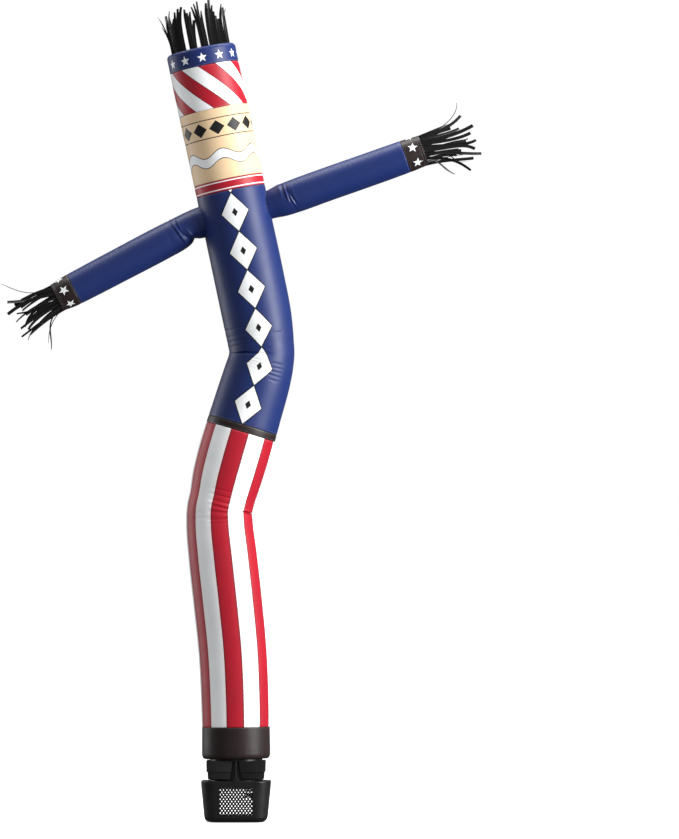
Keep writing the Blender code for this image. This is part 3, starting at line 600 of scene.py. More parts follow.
def banded(tree, turns, metres):
    """Cream with a row of black lozenges and, below it, a waving white ribbon with black edges."""
    along = cell(turns, 1.0 / 12) * TUBE_ROUND
    up = metres - GEM_ROW
    gem = along.size() * (1 / 0.029) + up.size() * (1 / 0.026)
    colour = mix(tree, gem < 1.0, CREAM, INK)
    edge = (up.size() - 0.0335).size() < 0.0016
    colour = mix(tree, edge, colour, INK)
    ribbon = (metres - RIBBON_ROW - (turns * (2 * math.pi * 6)).wave() * 0.013).size()
    colour = mix(tree, ribbon < 0.0190, colour, INK)
    return mix(tree, ribbon < 0.0160, colour, WHITE)


def starry(tree, turns, metres):
    """White stars round a navy band."""
    x = cell(turns, 1.0 / 12) * TUBE_ROUND
    return mix(tree, star_mask(tree, x, metres - STAR_ROW, STAR_SIZE), NAVY, WHITE)


def wrist_stars(first, middle, reach):
    """Six white stars round a dark band, each with a tip along the arm."""

    def print_colour(tree, turns, metres):
        x = cell(turns - first, 1.0 / 6) * reach
        return mix(tree, star_mask(tree, x, metres - middle, WRIST_STAR), DARK, WHITE)

    return print_colour


WRIST_ROUND = 2 * math.pi * 0.058
cuff_cloth = cloth("dark cuff cloth", plain(DARK), [CUFF_TOP])
leg_cloth = cloth("striped leg cloth", striped, [BELT_LOW])
belt_cloth = cloth("dark belt cloth", plain(DARK), [BELT_LOW, BELT_TOP])
body_cloth = cloth("navy body cloth", lozenges, [BELT_TOP, BODY_TOP])
collar_cloth = cloth("red collar cloth", edged, [BODY_TOP, COLLAR_TOP])
head_cloth = cloth("cream cloth", banded, [COLLAR_TOP, HEAD_TOP], rough=0.50)
candy_cloth = cloth("candy striped cloth", candy, [HEAD_TOP, STRIPE_TOP])
star_cloth = cloth("navy star cloth", starry, [STRIPE_TOP])
print("prints made:", len([m for m in bpy.data.materials if "cloth" in m.name]))

# %% [markdown]
# ## The lengths of the tube
#
# The real tube is cut as rectangles, each closed into a cylinder by one seam up the back and sewn to the
# next. Here each length is the tube's formula between two seam heights. The seam up the back is where the
# map begins, so no print breaks in front.

# %% Sew the tube
COLUMNS = 144
FRONT_SEAM = math.pi / 2
BACK_TURN = np.linspace(0.0, 2 * math.pi, COLUMNS, endpoint=False) + FRONT_SEAM
LENGTHS = [
    ("leg_cloth", "leg_tube", CUFF_TOP, BELT_LOW, leg_cloth, "striped_cloth"),
    ("belt_cloth", "waist_band", BELT_LOW, BELT_TOP, belt_cloth, "dark_cloth"),
    ("body_cloth", "body_tube", BELT_TOP, BODY_TOP, body_cloth, "navy_cloth"),
    ("collar_cloth", "collar_band", BODY_TOP, COLLAR_TOP, collar_cloth, "red_cloth"),
    ("head_cloth", "head_tube", COLLAR_TOP, HEAD_TOP, head_cloth, "cream_cloth"),
    ("candy_cloth", "stripe_tube", HEAD_TOP, STRIPE_TOP, candy_cloth, "striped_cloth"),
]
FOLD_ZONES = [(1.160, 0.075), (1.740, 0.105)]


def sew_length(name, tube, low, high, material, columns, near=(), step=0.014, puckers=23):
    """Rings at all the rows: the tube's radius, less the pull of the seam at both ends."""
    t = dense_rows(low + SEAM_GAP, high - SEAM_GAP, step, near, 0.0021)[:, None]
    angle = columns[None, :]
    radius = tube.radius(t, angle) - seam_pull(t, low, high, angle, puckers)
    outer = tube.point(t, angle, radius)
    inner = tube.point(t, angle, radius - WALL)
    return skin(name, outer, inner, t, material)


made = {}
for name, node, low, high, material, slot in LENGTHS:
    made[name] = sew_length(name, body, low, high, material, BACK_TURN, FOLD_ZONES)
    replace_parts(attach(made[name], "body"), node)
    print(name, round(ROUND_BODY, 3), "by", round(high - low, 3), "m, faces:", len(made[name].data.polygons))

# %% [markdown]
# ## The bottom cuff
#
# The cuff is pulled over the blower's outlet flange, and a cord in its hem draws it in underneath. That
# makes a round shoulder at the bottom with small gathers that run up from the hem.

# %% The cuff
FLANGE_LOW = 0.2395
# height over the flange's underside, half width
CUFF = np.array([
    (-0.0062, 0.1105), (-0.0066, 0.1150), (-0.0048, 0.1195), (0.0000, 0.1232), (0.0060, 0.1251),
    (0.0200, 0.1258), (0.0600, 0.1256), (CUFF_TOP - FLANGE_LOW, 0.1250),
])


def sew_cuff(columns):
    """A smooth line through the profile's rows, measured along the cloth, with gathers that fade upwards."""
    length = np.concatenate([[0.0], np.cumsum(np.hypot(*np.diff(CUFF, axis=0).T))])
    s = dense_rows(0.0, length[-1], 0.004, (), 0.002)
    up, half = smooth(length, CUFF[:, 0], s), smooth(length, CUFF[:, 1], s)
    s, up, half, angle = s[:, None], up[:, None], half[:, None], columns[None, :]
    # 34 uneven gathers, and 61 finer ones right at the hem
    gather = 0.0007 * np.sin(34 * angle + 2.0 * np.sin(3 * angle)) * np.exp(-s / 0.020)
    gather = gather + 0.0004 * np.sin(61 * angle + 0.8) * np.exp(-s / 0.010)
    slope_up, slope_out = np.gradient(up[:, 0], s[:, 0])[:, None], np.gradient(half[:, 0], s[:, 0])[:, None]
    reach = half + gather
    outer = body.point(FLANGE_LOW + up + 0 * angle, angle + 0 * s, reach + 0 * s)
    inner = body.point(FLANGE_LOW + up + WALL * slope_out + 0 * angle, angle + 0 * s, reach - WALL * slope_up)
    return skin("cuff_cloth", outer, inner, FLANGE_LOW + up, cuff_cloth)


made["cuff_cloth"] = sew_cuff(BACK_TURN)
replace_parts(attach(made["cuff_cloth"], "body"), "base_cuff")
print("cuff's lowest point:", round(min(v.co.z for v in made["cuff_cloth"].data.vertices), 4))

# %% [markdown]
# ## The starred top
#
# The top band turns in over a soft round edge and stops at the air vent. Its profile is a straight side, a
# quarter circle and a flat rim, and the inside follows it one cloth thickness away.

# %% The top band
ROUND, VENT = 0.014, 0.1085


def sew_top(columns):
    """Side, quarter circle and rim as one line of distance along and half width."""
    half = float(smooth(body.t, body.half, np.array(CROWN_TOP)))
    side = dense_rows(STRIPE_TOP + SEAM_GAP, CROWN_TOP - ROUND, 0.006, (), 0.002)
    side = side[side < CROWN_TOP - ROUND - 0.0004]
    quarter = np.linspace(0.0, math.pi / 2, 12)
    rim = np.linspace(half - ROUND, VENT, 5)[1:]

    def line(grow):
        r = ROUND + grow
        t = [side, CROWN_TOP - ROUND + r * np.sin(quarter), np.full(len(rim), CROWN_TOP + grow)]
        w = [np.full(len(side), half + grow), half - ROUND + r * np.cos(quarter), rim]
        return np.concatenate(t)[:, None], np.concatenate(w)[:, None]

    angle = columns[None, :]
    (t, w), (t_in, w_in) = line(0.0), line(-WALL)
    pull = SEAM_DEEP * np.exp(-(t - STRIPE_TOP) / SEAM_FADE)
    gather = 0.0006 * np.sin(29 * angle + np.sin(2 * angle)) * np.exp(-np.abs(CROWN_TOP - t) / 0.010)
    outer = body.point(t + 0 * angle, angle + 0 * t, w - pull + gather)
    inner = body.point(t_in + 0 * angle, angle + 0 * t, w_in - pull + gather)
    length = np.concatenate([[0.0], np.cumsum(np.hypot(np.diff(t[:, 0]), np.diff(w[:, 0])))])
    return skin("star_cloth", outer, inner, STRIPE_TOP + length[:, None], star_cloth)


made["star_cloth"] = sew_top(BACK_TURN)
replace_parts(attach(made["star_cloth"], "body"), "star_band")
print("top band faces:", len(made["star_cloth"].data.polygons))

# %% [markdown]
# ## The arms
#
# Each sleeve is a tube sewn into a hole in the body, so its inner edge is the curve where two tubes meet.
# That curve has no simple formula. It is found instead: along each line of the sleeve, the first place that
# is outside the body is where the sleeve begins.

# %% Sew the sleeves and wrist bands
def outside_body(points):
    """How far points lie outside the body: distance from the middle line less the radius there."""
    t = points[..., 2]
    for _ in range(4):
        t = t + np.sum((points - body.middle(t)) * body.along(t), axis=-1) * body.along(t)[..., 2]
    off = points - body.middle(t)
    side = np.sum(off * body.across(t), axis=-1)
    return np.hypot(side, points[..., 1]) - body.radius(t, np.arctan2(points[..., 1], side))


def root_of(tube, angle, grow):
    """For each line of the sleeve, the distance at which it leaves the body's cloth."""
    t = np.linspace(0.0, 0.16, 641)[:, None] + 0 * angle[None, :]
    at = tube.point(t, angle[None, :] + 0 * t, tube.radius(t, angle[None, :]) + grow)
    out = outside_body(at) > 0.0
    return t[np.argmax(out, axis=0), np.arange(len(angle))]


ARM_COLUMNS = 96
ARM_TURN = np.linspace(0.0, 2 * math.pi, ARM_COLUMNS, endpoint=False) + FRONT_SEAM


def sew_sleeve(side, tube, near):
    """Rows share out the way from each line's own root to the wrist, so the inner edge fits the body."""
    end = tube.t[-1] - WRIST_LENGTH
    root = root_of(tube, ARM_TURN, 0.0)[None, :] - 0.0008
    share = dense_rows(0.0, end - SEAM_GAP, 0.010, near, 0.0022)[:, None] / end
    t = root + (end - SEAM_GAP - root) * share
    angle = ARM_TURN[None, :] + 0 * t
    near_root, near_wrist = t - root, end - t
    # the cloth is drawn in at both seams, with gathers that fade along the sleeve
    pucker = np.sin(17 * angle) + 0.7 * np.sin(29 * angle + 1.0)
    pull = 0.0012 * np.exp(-near_root / 0.004) - 0.0008 * pucker * np.exp(-near_root / 0.012)
    pull = pull + 0.0014 * np.exp(-near_wrist / 0.002) + 0.0003 * pucker * np.exp(-near_wrist / 0.008)
    radius = tube.radius(t, angle) - pull
    material = cloth(f"{side} sleeve cloth", plain(NAVY), [end], around=ROUND_ARM)
    outer, inner = tube.point(t, angle, radius), tube.point(t, angle, radius - WALL)
    return skin(f"{side}_sleeve_cloth", outer, inner, t, material), root


def sew_wrist(side, tube, first):
    """The dark band from the sleeve's seam to the mouth, with a turned hem."""
    low, high = tube.t[-1] - WRIST_LENGTH, tube.t[-1]
    stars = wrist_stars(first, high - WRIST_LENGTH / 2, WRIST_ROUND)
    material = cloth(f"{side} wrist cloth", stars, [low, high - 0.008], around=WRIST_ROUND)
    t = dense_rows(low + SEAM_GAP, high, 0.006, (), 0.002)[:, None]
    angle = ARM_TURN[None, :]
    pull = 0.0014 * np.exp(-(t - low) / 0.002) + 0.0002 * np.sin(31 * angle) * np.exp(-(t - low) / 0.008)
    # the hem's soft roll, the groove of its stitches 9 mm from the edge, and the flutter of the mouth
    hem = 0.0005 * np.exp(-(((t - high + 0.0045) / 0.0030) ** 2))
    hem = hem - 0.0004 * np.exp(-(((t - high + 0.009) / 0.0012) ** 2))
    flutter = 0.0012 * np.sin(5 * angle + 0.7) * np.exp(-(high - t) / 0.018)
    radius = tube.radius(t, angle) - pull + hem + flutter
    outer, inner = tube.point(t, angle + 0 * t, radius), tube.point(t, angle + 0 * t, radius - WALL)
    return skin(f"{side}_wrist_cloth", outer, inner, t, material)


def turn_of(side_degrees):
    """A side in degrees as a place on the cloth map, which begins at the back."""
    return ((side_degrees - 90.0) / 360.0) % 1.0


ARM_FOLD_ZONE = [(0.15, 0.10)]
arms = {}
for side, tube, star_side in (("left", left, -80.0), ("right", right, -109.0)):
    made[f"{side}_sleeve_cloth"], arms[side] = sew_sleeve(side, tube, ARM_FOLD_ZONE)
    made[f"{side}_wrist_cloth"] = sew_wrist(side, tube, turn_of(star_side))
    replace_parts(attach(made[f"{side}_sleeve_cloth"], "body"), f"{side}_sleeve")
    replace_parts(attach(made[f"{side}_wrist_cloth"], "body"), f"{side}_wrist")
    print(side, "sleeve begins between", np.round([arms[side].min(), arms[side].max()], 3))

# %% [markdown]
# ## The welt round each arm
#
# Where a sleeve meets the body the two edges are sewn face to face, and the seam stands up as a thin cord
# of cloth. It is a small circle carried along the curve that the last step found.

# %% Arm welts
WELT_NAVY = (0.0120, 0.0210, 0.1050)
welt_cloth = cloth("welt cloth", plain(WELT_NAVY), rough=0.42)


def ring_along(path, thick, sides):
    """A circle carried along a closed path, square to the path's direction."""
    ahead = np.roll(path, -1, axis=0) - np.roll(path, 1, axis=0)
    ahead = ahead / np.linalg.norm(ahead, axis=1, keepdims=True)
    centre = path.mean(axis=0)
    out = path - centre
    out = out - np.sum(out * ahead, axis=1, keepdims=True) * ahead
    out = out / np.linalg.norm(out, axis=1, keepdims=True)
    over = np.cross(ahead, out)
    a = np.linspace(0.0, 2 * math.pi, sides, endpoint=False)
    cos, sin = np.cos(a)[None, :, None], np.sin(a)[None, :, None]
    return path[:, None] + thick * (cos * out[:, None] + sin * over[:, None])


def wrap(name, grid, material):
    """A grid closed both ways round, as a ring has."""
    rows, cols = grid.shape[:2]
    row, col = np.meshgrid(np.arange(rows), np.arange(cols), indexing="ij")
    up, over = (row + 1) % rows, (col + 1) % cols
    faces = four_corners(row, col, up, over, cols)
    piece = add_mesh(name, grid.reshape(-1, 3), faces.reshape(-1, 4)[:, ::-1], material)
    u = np.stack([row, row, row + 1, row + 1], axis=-1) / rows
    v = np.stack([col, col + 1, col + 1, col], axis=-1) / cols
    add_uv(piece, "cloth", np.stack([u, v], axis=-1).reshape(-1, 2))
    return piece


for side, tube in (("left", left), ("right", right)):
    t = arms[side][0] + 0.0010
    path = tube.point(t, ARM_TURN, tube.radius(t, ARM_TURN) - 0.0004)
    welt = wrap(f"{side}_arm_welt", ring_along(path, 0.0013, 8), welt_cloth)
    made[f"{side}_arm_welt"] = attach(welt, "body")
print("welts:", 2)

# %% [markdown]
# ## Streamers
#
# Strips of thin black cloth stand in the air that leaves at the top and at both hands. The top ones are
# broad and slit into fingers, which stay together low down and part near their ends. Those at the hands are
# narrow and cut off square, and they bend and cross as the air lets go of them.
# A strip is a cubic curve through four pulling points with a flat, slightly cupped section carried along it.

# %% How a strip is made
strip_cloth = cloth("black strip cloth", plain(BLACK), rough=0.40, around=1.0, mirror=0.36)
BACK = np.array([0.0, 1.0, 0.0])


class Mouth:
    """A mouth's own axes: its middle, and the directions along the tube and across it in the picture."""

    def __init__(self, tube, t, radius):
        self.middle, self.ahead, self.across = tube.middle(t), tube.along(t), tube.across(t)
        self.radius = radius

    def point(self, ahead, across, depth):
        """A point by its three distances; depth is away from the camera."""
        flat = self.middle + ahead[..., None] * self.ahead + across[..., None] * self.across
        return flat + depth[..., None] * BACK


def placed(mouth, table):
    """Curves from a table's pulling points. Roots lie on the rim, and depth stays as at the root."""
    table = np.array(table, float)
    points = table[:, 2:].reshape(-1, 4, 2) / MILLIMETRES
    root = points[:, :1, 1] / mouth.radius
    depth = -mouth.radius * np.sqrt(np.clip(1 - root**2, 0.02, 1.0)) + 0 * points[..., 0]
    return mouth.point(points[..., 0], points[..., 1], depth), table[:, 0] / MILLIMETRES, table[:, 1]


CUP, TIP = 0.10, 0.24
# six points of the flat section: along its width, through its thickness, and how far it is cupped
SECTION = [(1, 0.5, 0), (0, 0.5, 1), (-1, 0.5, 0), (-1, -0.5, 0), (0, -0.5, 1), (1, -0.5, 0)]


def strips(name, curves, width, pointed, twist, material, thick=0.0008, steps=22):
    """The cubic of four points, its side direction in the picture's plane turned by twist, and the section.

    width is full to the end where pointed is 0, and falls to nothing where it is 1.
    """
    count = len(curves)
    u = np.linspace(0.0, 1.0, steps)[None, :, None]
    p0, p1, p2, p3 = (curves[:, None, k] for k in range(4))
    line = (1 - u) ** 3 * p0 + 3 * u * (1 - u) ** 2 * p1 + 3 * u**2 * (1 - u) * p2 + u**3 * p3
    ahead = (1 - u) ** 2 * (p1 - p0) + 2 * u * (1 - u) * (p2 - p1) + u**2 * (p3 - p2)
    ahead = ahead / np.linalg.norm(ahead, axis=2, keepdims=True)
    side = np.cross(ahead, BACK)
    side = side / np.linalg.norm(side, axis=2, keepdims=True)
    face = np.cross(side, ahead)
    turn = twist[0][:, None, None] + twist[1][:, None, None] * u
    side, face = side * np.cos(turn) + face * np.sin(turn), face * np.cos(turn) - side * np.sin(turn)
    tip = np.clip((1.0 - u) / TIP, 0.08, 1.0)
    half = width[:, None, None] / 2 * (1.0 - pointed[:, None, None] * (1.0 - tip))
    rings = [line + side * half * s + face * (thick * f + CUP * half * c) for s, f, c in SECTION]
    rings = np.stack(rings, axis=2)
    per = len(SECTION)
    start = (np.arange(count) * steps * per)[:, None, None]
    row, col = np.meshgrid(np.arange(steps - 1), np.arange(per), indexing="ij")
    over = (col + 1) % per
    sides = (start[..., None] + four_corners(row, col, row + 1, over, per)[None]).reshape(-1, 4)
    ends = np.array([(0, 5, 4, 1), (1, 4, 3, 2)])
    roots = (start + ends[None]).reshape(-1, 4)
    tips = (start + ends[None, :, ::-1] + (steps - 1) * per).reshape(-1, 4)
    faces = np.concatenate([sides, roots, tips])
    piece = add_mesh(name, rings.reshape(-1, 3), faces, material, smooth_faces=False)
    uv = np.stack([(faces % per) / per * 0.012, (faces // per % steps) / steps * 0.16], axis=-1)
    add_uv(piece, "cloth", uv.reshape(-1, 2))
    return piece


print("points in a strip's section:", len(SECTION))

# %% [markdown]
# ## The strips in front
#
# These are the strips that show in front, one row each. They are listed one by one, because no simple rule
# gives the way in which loose ends cross.

# %% Tables of the strips
# in millimetres: width, how pointed (a share), then four pulling points, each ahead of the mouth and across
TOP_STRIPS = [
    (4.4, 0.8, 4, -104, 62, -106, 87, -115, 110, -124), (4.4, 0.8, 6, -103, 62, -105, 102, -112, 146, -130),
    (12, 0.5, -12, -100, 50, -101, 95, -103, 118, -103), (11, 0.3, -12, -91, 50, -93, 95, -95, 132, -90),
    (6, 0.6, -12, -96, 62, -102, 121, -97, 159, -84), (10.5, 0.5, -12, -83, 70, -84, 96, -86, 126, -74),
    (11, 0.4, -12, -74, 67, -75, 104, -73, 148, -66), (11, 0.3, -12, -65, 66, -66, 114, -62, 158, -52),
    (11, 0.2, -12, -56, 75, -57, 120, -56, 161, -38), (11, 0.4, -12, -33, 78, -32, 115, -32, 149, -29),
    (11, 0.3, -12, -24, 78, -25, 106, -26, 134, -22), (11, 0.5, -12, -15, 63, -16, 106, -21, 136, -9),
    (8.5, 0.4, -12, 8, 69, 9, 115, 7, 152, -2), (8.5, 0.4, -12, 15, 68, 16, 113, 14, 161, 9),
    (8.5, 0.3, -12, 22, 86, 21, 113, 16, 168, 22), (8.5, 0.6, -12, 29, 66, 29, 104, 26, 132, 31),
    (11, 0.3, -12, 41, 71, 42, 118, 46, 156, 54), (11, 0.2, -12, 50, 68, 51, 116, 57, 167, 66),
    (11, 0.5, -12, 59, 65, 59, 104, 61, 145, 74), (11, 0.4, -12, 68, 65, 68, 96, 68, 122, 76),
    (11, 0.4, -12, 77, 54, 77, 86, 76, 106, 80), (11, 0.6, -12, 86, 54, 85, 76, 83, 94, 87),
    (5, 0.7, -12, 101, 58, 102, 96, 98, 127, 122), (9.5, 0.7, -12, 96, 59, 95, 91, 88, 147, 109),
]
LEFT_STRIPS = [
    (12.6, 0, -12, 19, 46, 23, 106, 38, 169, 69), (12.9, 0, -12, 8, 63, 40, 131, 41, 188, 28),
    (8.5, 0.1, -12, -14, 61, -19, 105, -4, 158, 15), (11.1, 0, -12, -3, 62, 10, 128, 6, 174, -12),
    (10, 0.4, -12, -21, 70, 11, 116, -5, 154, -43), (11.6, 0, -12, -36, 44, -48, 110, -56, 182, -69),
    (11.1, 0, -12, -27, 56, -26, 119, -35, 147, -57), (4.4, 0.6, -12, -37, 91, -45, 141, -61, 167, -91),
    (5.2, 0.5, -12, -42, 82, -45, 75, -110, 106, -161), (3, 0.6, -12, -44, 31, -55, 75, -75, 104, -134),
    (2.4, 0.6, -12, 40, 100, 40, 130, 112, 160, 141), (11, 0.1, -12, 32, 30, 50, 60, 50, 120, 52),
    (12, 0, -12, 26, 40, 34, 90, 30, 150, 50), (11.5, 0, -12, -10, 50, -14, 100, -22, 136, -30),
]
RIGHT_STRIPS = [
    (12.6, 0, -12, -41, 62, -45, 115, -38, 172, -71), (12.9, 0, -12, -32, 73, -12, 141, -10, 202, -21),
    (12, 0, -12, -24, 84, 0, 140, 9, 184, 2), (11.1, 0.1, -12, -17, 79, 14, 135, 23, 168, 19),
    (12.6, 0, -12, -9, 83, 16, 158, 43, 194, 34), (11.8, 0, -12, 3, 78, 30, 147, 23, 179, 64),
    (12.6, 0, -12, 15, 76, 33, 131, 67, 196, 88), (11.1, 0.1, -12, 29, 63, 57, 99, 69, 138, 133),
    (4.4, 0.5, -12, 29, 69, 64, 107, 91, 132, 96), (8.5, 0.6, -12, 37, 48, 46, 36, 89, 79, 126),
    (2.6, 0.5, -12, -42, 84, -43, 166, -72, 174, -121), (3.7, 0.5, -12, 14, 75, 36, 100, 65, 98, 91),
    (12, 0, -12, -36, 50, -34, 95, -22, 150, -28), (12, 0, -12, 22, 50, 30, 95, 40, 130, 52),
]
print("strips placed by hand:", len(TOP_STRIPS + LEFT_STRIPS + RIGHT_STRIPS))

# %% [markdown]
# ## All the strips together
#
# Behind those the mouths are filled with strips drawn at random, and the seed gives the same ones each time.
# All strips of a mouth are one piece, and a narrow backing band inside the mouth holds their roots.

# %% Hang the strips
def drawn(mouth, seed, count, long, flare, wide, drop):
    """Strips drawn at random round the back of the rim, flared outwards and dropped by their weight."""
    draw = np.random.default_rng(seed)
    angle = np.linspace(0.06, 0.94, count) * math.pi + draw.uniform(-0.06, 0.06, count)
    reach = draw.uniform(*long, count)
    bend = draw.uniform(-0.1, 0.3, count), draw.uniform(0.4, 0.8, count)
    out = np.stack([np.zeros(count), *bend, np.ones(count)], axis=-1)
    far = mouth.radius + out * (draw.uniform(*flare, count) * reach)[:, None]
    swing = out**2 * draw.normal(0.0, 0.12, count)[:, None]
    ahead = np.array([0.0, 0.38, 0.70, 1.0])[None, :] * (reach + 0.012)[:, None] - 0.012
    turn = angle[:, None] + swing
    points = mouth.point(ahead, far * np.cos(turn), far * np.sin(turn))
    points[..., 2] -= drop * out**2
    return points, draw.uniform(*wide, count), draw.choice([0.0, 0.0, 0.3], count)


def backing(name, tube, low, high, radius):
    """The band that the strips' roots are sewn to, inside the mouth."""
    t = np.linspace(low, high, 4)[:, None]
    outer, inner = (tube.point(t, ARM_TURN[None, :], r + 0 * t * ARM_TURN) for r in (radius, radius - 0.0012))
    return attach(skin(name, outer, inner, t, strip_cloth), "body")


def join_curves(*groups):
    """Groups of curves, widths and points put one after the other."""
    return tuple(np.concatenate(parts) for parts in zip(*groups))


# the mouth and its table, then for the drawn ones: seed, count, length, flare, width, drop
MOUTHS = {
    "top": (Mouth(body, CROWN_TOP, 0.1066), TOP_STRIPS,
            3, 8, (0.100, 0.150), (-0.06, 0.06), (0.0100, 0.0118), 0.0),
    "left": (Mouth(left, left.t[-1], 0.0496), LEFT_STRIPS,
             8, 9, (0.110, 0.175), (0.0, 0.22), (0.0105, 0.0125), 0.022),
    "right": (Mouth(right, right.t[-1], 0.0536), RIGHT_STRIPS,
              5, 9, (0.100, 0.170), (0.0, 0.20), (0.0105, 0.0125), 0.012),
}
for name, (mouth, table, seed, *how) in MOUTHS.items():
    curves, width, pointed = join_curves(placed(mouth, table), drawn(mouth, seed, *how))
    draw = np.random.default_rng(seed + 20)
    loose = np.where(np.arange(len(width)) < len(table), 0.75, 1.0) * (0.3 if name == "top" else 1.0)
    twist = draw.normal(0.0, 0.5, len(width)) * loose, draw.normal(0.0, 0.8, len(width)) * loose
    made[f"{name}_strips"] = strips(f"{name}_strips", curves, width, pointed, twist, strip_cloth)
    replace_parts(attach(made[f"{name}_strips"], "body"), f"{name}_streamers")
    print(name, "strips:", len(width))
made["top_backing"] = backing("top_backing", body, CROWN_TOP - 0.013, CROWN_TOP - 0.0012, 0.1080)
made["left_backing"] = backing("left_backing", left, left.t[-1] - 0.013, left.t[-1] - 0.001, 0.0506)
made["right_backing"] = backing("right_backing", right, right.t[-1] - 0.013, right.t[-1] - 0.001, 0.0546)

# %% [markdown]
# ## Moulded plastic
#
# The blower is black polypropylene out of a mould: satin, with a very fine grain, and edges that have been
# rubbed a little smoother and lighter. The grain is a small noise in the bump, and the rubbing a slow noise
# in the roughness.

# %% The plastic finish
def moulded(name, colour, rough, grain=0.25):
    """Colour with a faint bloom, grain and uneven shine."""
    material, tree, shader = new_material(name)
    place = tree.nodes.new("ShaderNodeTexCoord").outputs["Object"]
    bloom = noise(tree, place, 9.0).ramp(0.35, 0.80)
    pale = tuple(min(1.0, 1.7 * x + 0.004) for x in colour)
    tree.links.new(mix(tree, bloom * 0.5, colour, pale), shader.inputs["Base Color"])
    worn = noise(tree, place, 31.0)
    tree.links.new((worn * 0.16 + (rough - 0.08)).socket, shader.inputs["Roughness"])
    add_bump(tree, shader, noise(tree, place, 900.0, 2.0), grain, 0.0002)
    return material


black_plastic = moulded("black moulded plastic", (0.0066, 0.0066, 0.0069), 0.36)
net_plastic = moulded("black net plastic", (0.0062, 0.0062, 0.0065), 0.42)
switch_plastic = moulded("switch plastic", (0.0066, 0.0066, 0.0070), 0.24, 0.08)
rubber = moulded("rubber", (0.0110, 0.0110, 0.0110), 0.70, 0.4)
print("plastics:", 4)

# %% [markdown]
# ## The housing
#
# The tub is a square with round corners that widens upwards, as it must to leave its mould. A rounded square
# is four quarters, each an arc, a straight side and an arc. It is carried up through the section table, and
# the cells of the grid that lie in a window are left out. Solidify then gives the plastic its wall.

# %% Tub
# height, half side, corner radius
HOUSING = np.array([
    (0.0000, 0.0930, 0.042), (0.0015, 0.1000, 0.043), (0.0045, 0.1068, 0.045), (0.0090, 0.1120, 0.047),
    (0.0160, 0.1160, 0.049), (0.1480, 0.1285, 0.056),
])
WINDOW_WIDE, TUB_WALL, ARC_STEPS = 0.1280, 0.003, 10
# more rows for the round of the foot, which ends at this height
FOOT_ROWS, FOOT_HIGH = [0.0006, 0.0028, 0.0066, 0.0120], 0.016
LEAN = math.atan2(HOUSING[-1, 1] - HOUSING[-2, 1], HOUSING[-1, 0] - HOUSING[-2, 0])
# quarter turns from the front, height of the middle, height of the window
WINDOWS = {
    "front": (0, 0.0740, 0.110), "side": (1, 0.0790, 0.120),
    "back": (2, 0.0790, 0.120), "left": (3, 0.0790, 0.120),
}


def quarter_outline(half, corner):
    """The front side, left to right: half an arc, the straight with the window's edges, half an arc."""
    a = np.linspace(-math.pi / 4, 0.0, ARC_STEPS)
    flat = half - corner
    edge = min(WINDOW_WIDE / 2, 0.97 * flat)
    arc = np.stack([-flat + corner * np.sin(a), -flat - corner * np.cos(a)], axis=-1)
    places = np.unique([-edge, -edge / 2, 0.0, edge / 2, edge])
    straight = np.stack([places, np.full(len(places), -half)], axis=-1)
    return np.concatenate([arc[:-1], straight, arc[:0:-1] * np.array([-1.0, 1.0])])[:-1]


def turned(points, quarter):
    """Points turned about the upright axis by quarter turns, anticlockwise from above."""
    a = quarter * math.pi / 2
    spin = np.array([[math.cos(a), math.sin(a), 0.0], [-math.sin(a), math.cos(a), 0.0], [0.0, 0.0, 1.0]])
    return points @ spin


def tub():
    """Outlines at each height, a row at each window's edges, and the window's cells left out."""
    edges = [m + s * h / 2 * math.cos(LEAN) for _, m, h in WINDOWS.values() for s in (-1, 1)]
    z = np.unique(np.round(np.concatenate([HOUSING[:, 0], FOOT_ROWS, edges]), 5))
    half, corner = np.interp(z, HOUSING[:, 0], HOUSING[:, 1]), np.interp(z, HOUSING[:, 0], HOUSING[:, 2])
    low = z < FOOT_HIGH
    half[low] = smooth(HOUSING[:, 0], HOUSING[:, 1], z[low])
    side = np.stack([
        np.concatenate([outline, np.full((len(outline), 1), height)], axis=1)
        for outline, height in zip(map(quarter_outline, half, corner), z)
    ])
    grid = np.concatenate([turned(side, quarter) for quarter in range(4)], axis=1)
    rows, cols = grid.shape[:2]
    row, col = np.meshgrid(np.arange(rows - 1), np.arange(cols), indexing="ij")
    faces = four_corners(row, col, row + 1, (col + 1) % cols, cols)
    keep = np.ones((rows - 1, cols), bool)
    middles, per = (z[:-1] + z[1:]) / 2, cols // 4
    for quarter, middle, high in WINDOWS.values():
        tall = np.abs(middles - middle) < high / 2 * math.cos(LEAN)
        start = quarter * per + ARC_STEPS - 1
        keep[np.ix_(tall, np.arange(start, start + 4))] = False
    floor = [list(range(cols - 1, -1, -1))]
    mesh = bpy.data.meshes.new("tub")
    mesh.from_pydata(grid.reshape(-1, 3).tolist(), [], faces[keep].tolist() + floor)
    mesh.polygons.foreach_set("use_smooth", np.full(len(mesh.polygons), True))
    mesh.materials.append(black_plastic)
    return put_in_scene("tub", mesh)


def harden(piece, width, angle=35.0, segments=2):
    """Rounds the sharp edges by a bevel and keeps the flats flat."""
    soft = piece.modifiers.new("soft edges", "BEVEL")
    soft.width, soft.segments, soft.harden_normals = width, segments, True
    soft.limit_method, soft.angle_limit = "ANGLE", math.radians(angle)
    return piece


housing = tub()
wall = housing.modifiers.new("wall", "SOLIDIFY")
wall.thickness, wall.offset, wall.use_even_offset = TUB_WALL, -1.0, True
harden(housing, 0.0007, 60.0)
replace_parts(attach(housing, "body"), "housing")
print("tub points:", len(housing.data.vertices))

# %% [markdown]
# ## The nets
#
# Each window holds a net of upright diamonds, 12 mm wide and 17 mm high. Seen as cells of half a diamond,
# every cell holds one slanting bar, and neighbours slant the other way. So the net is one bar, mirrored
# again and again, and points that fall together are joined. A flat frame closes its edge.

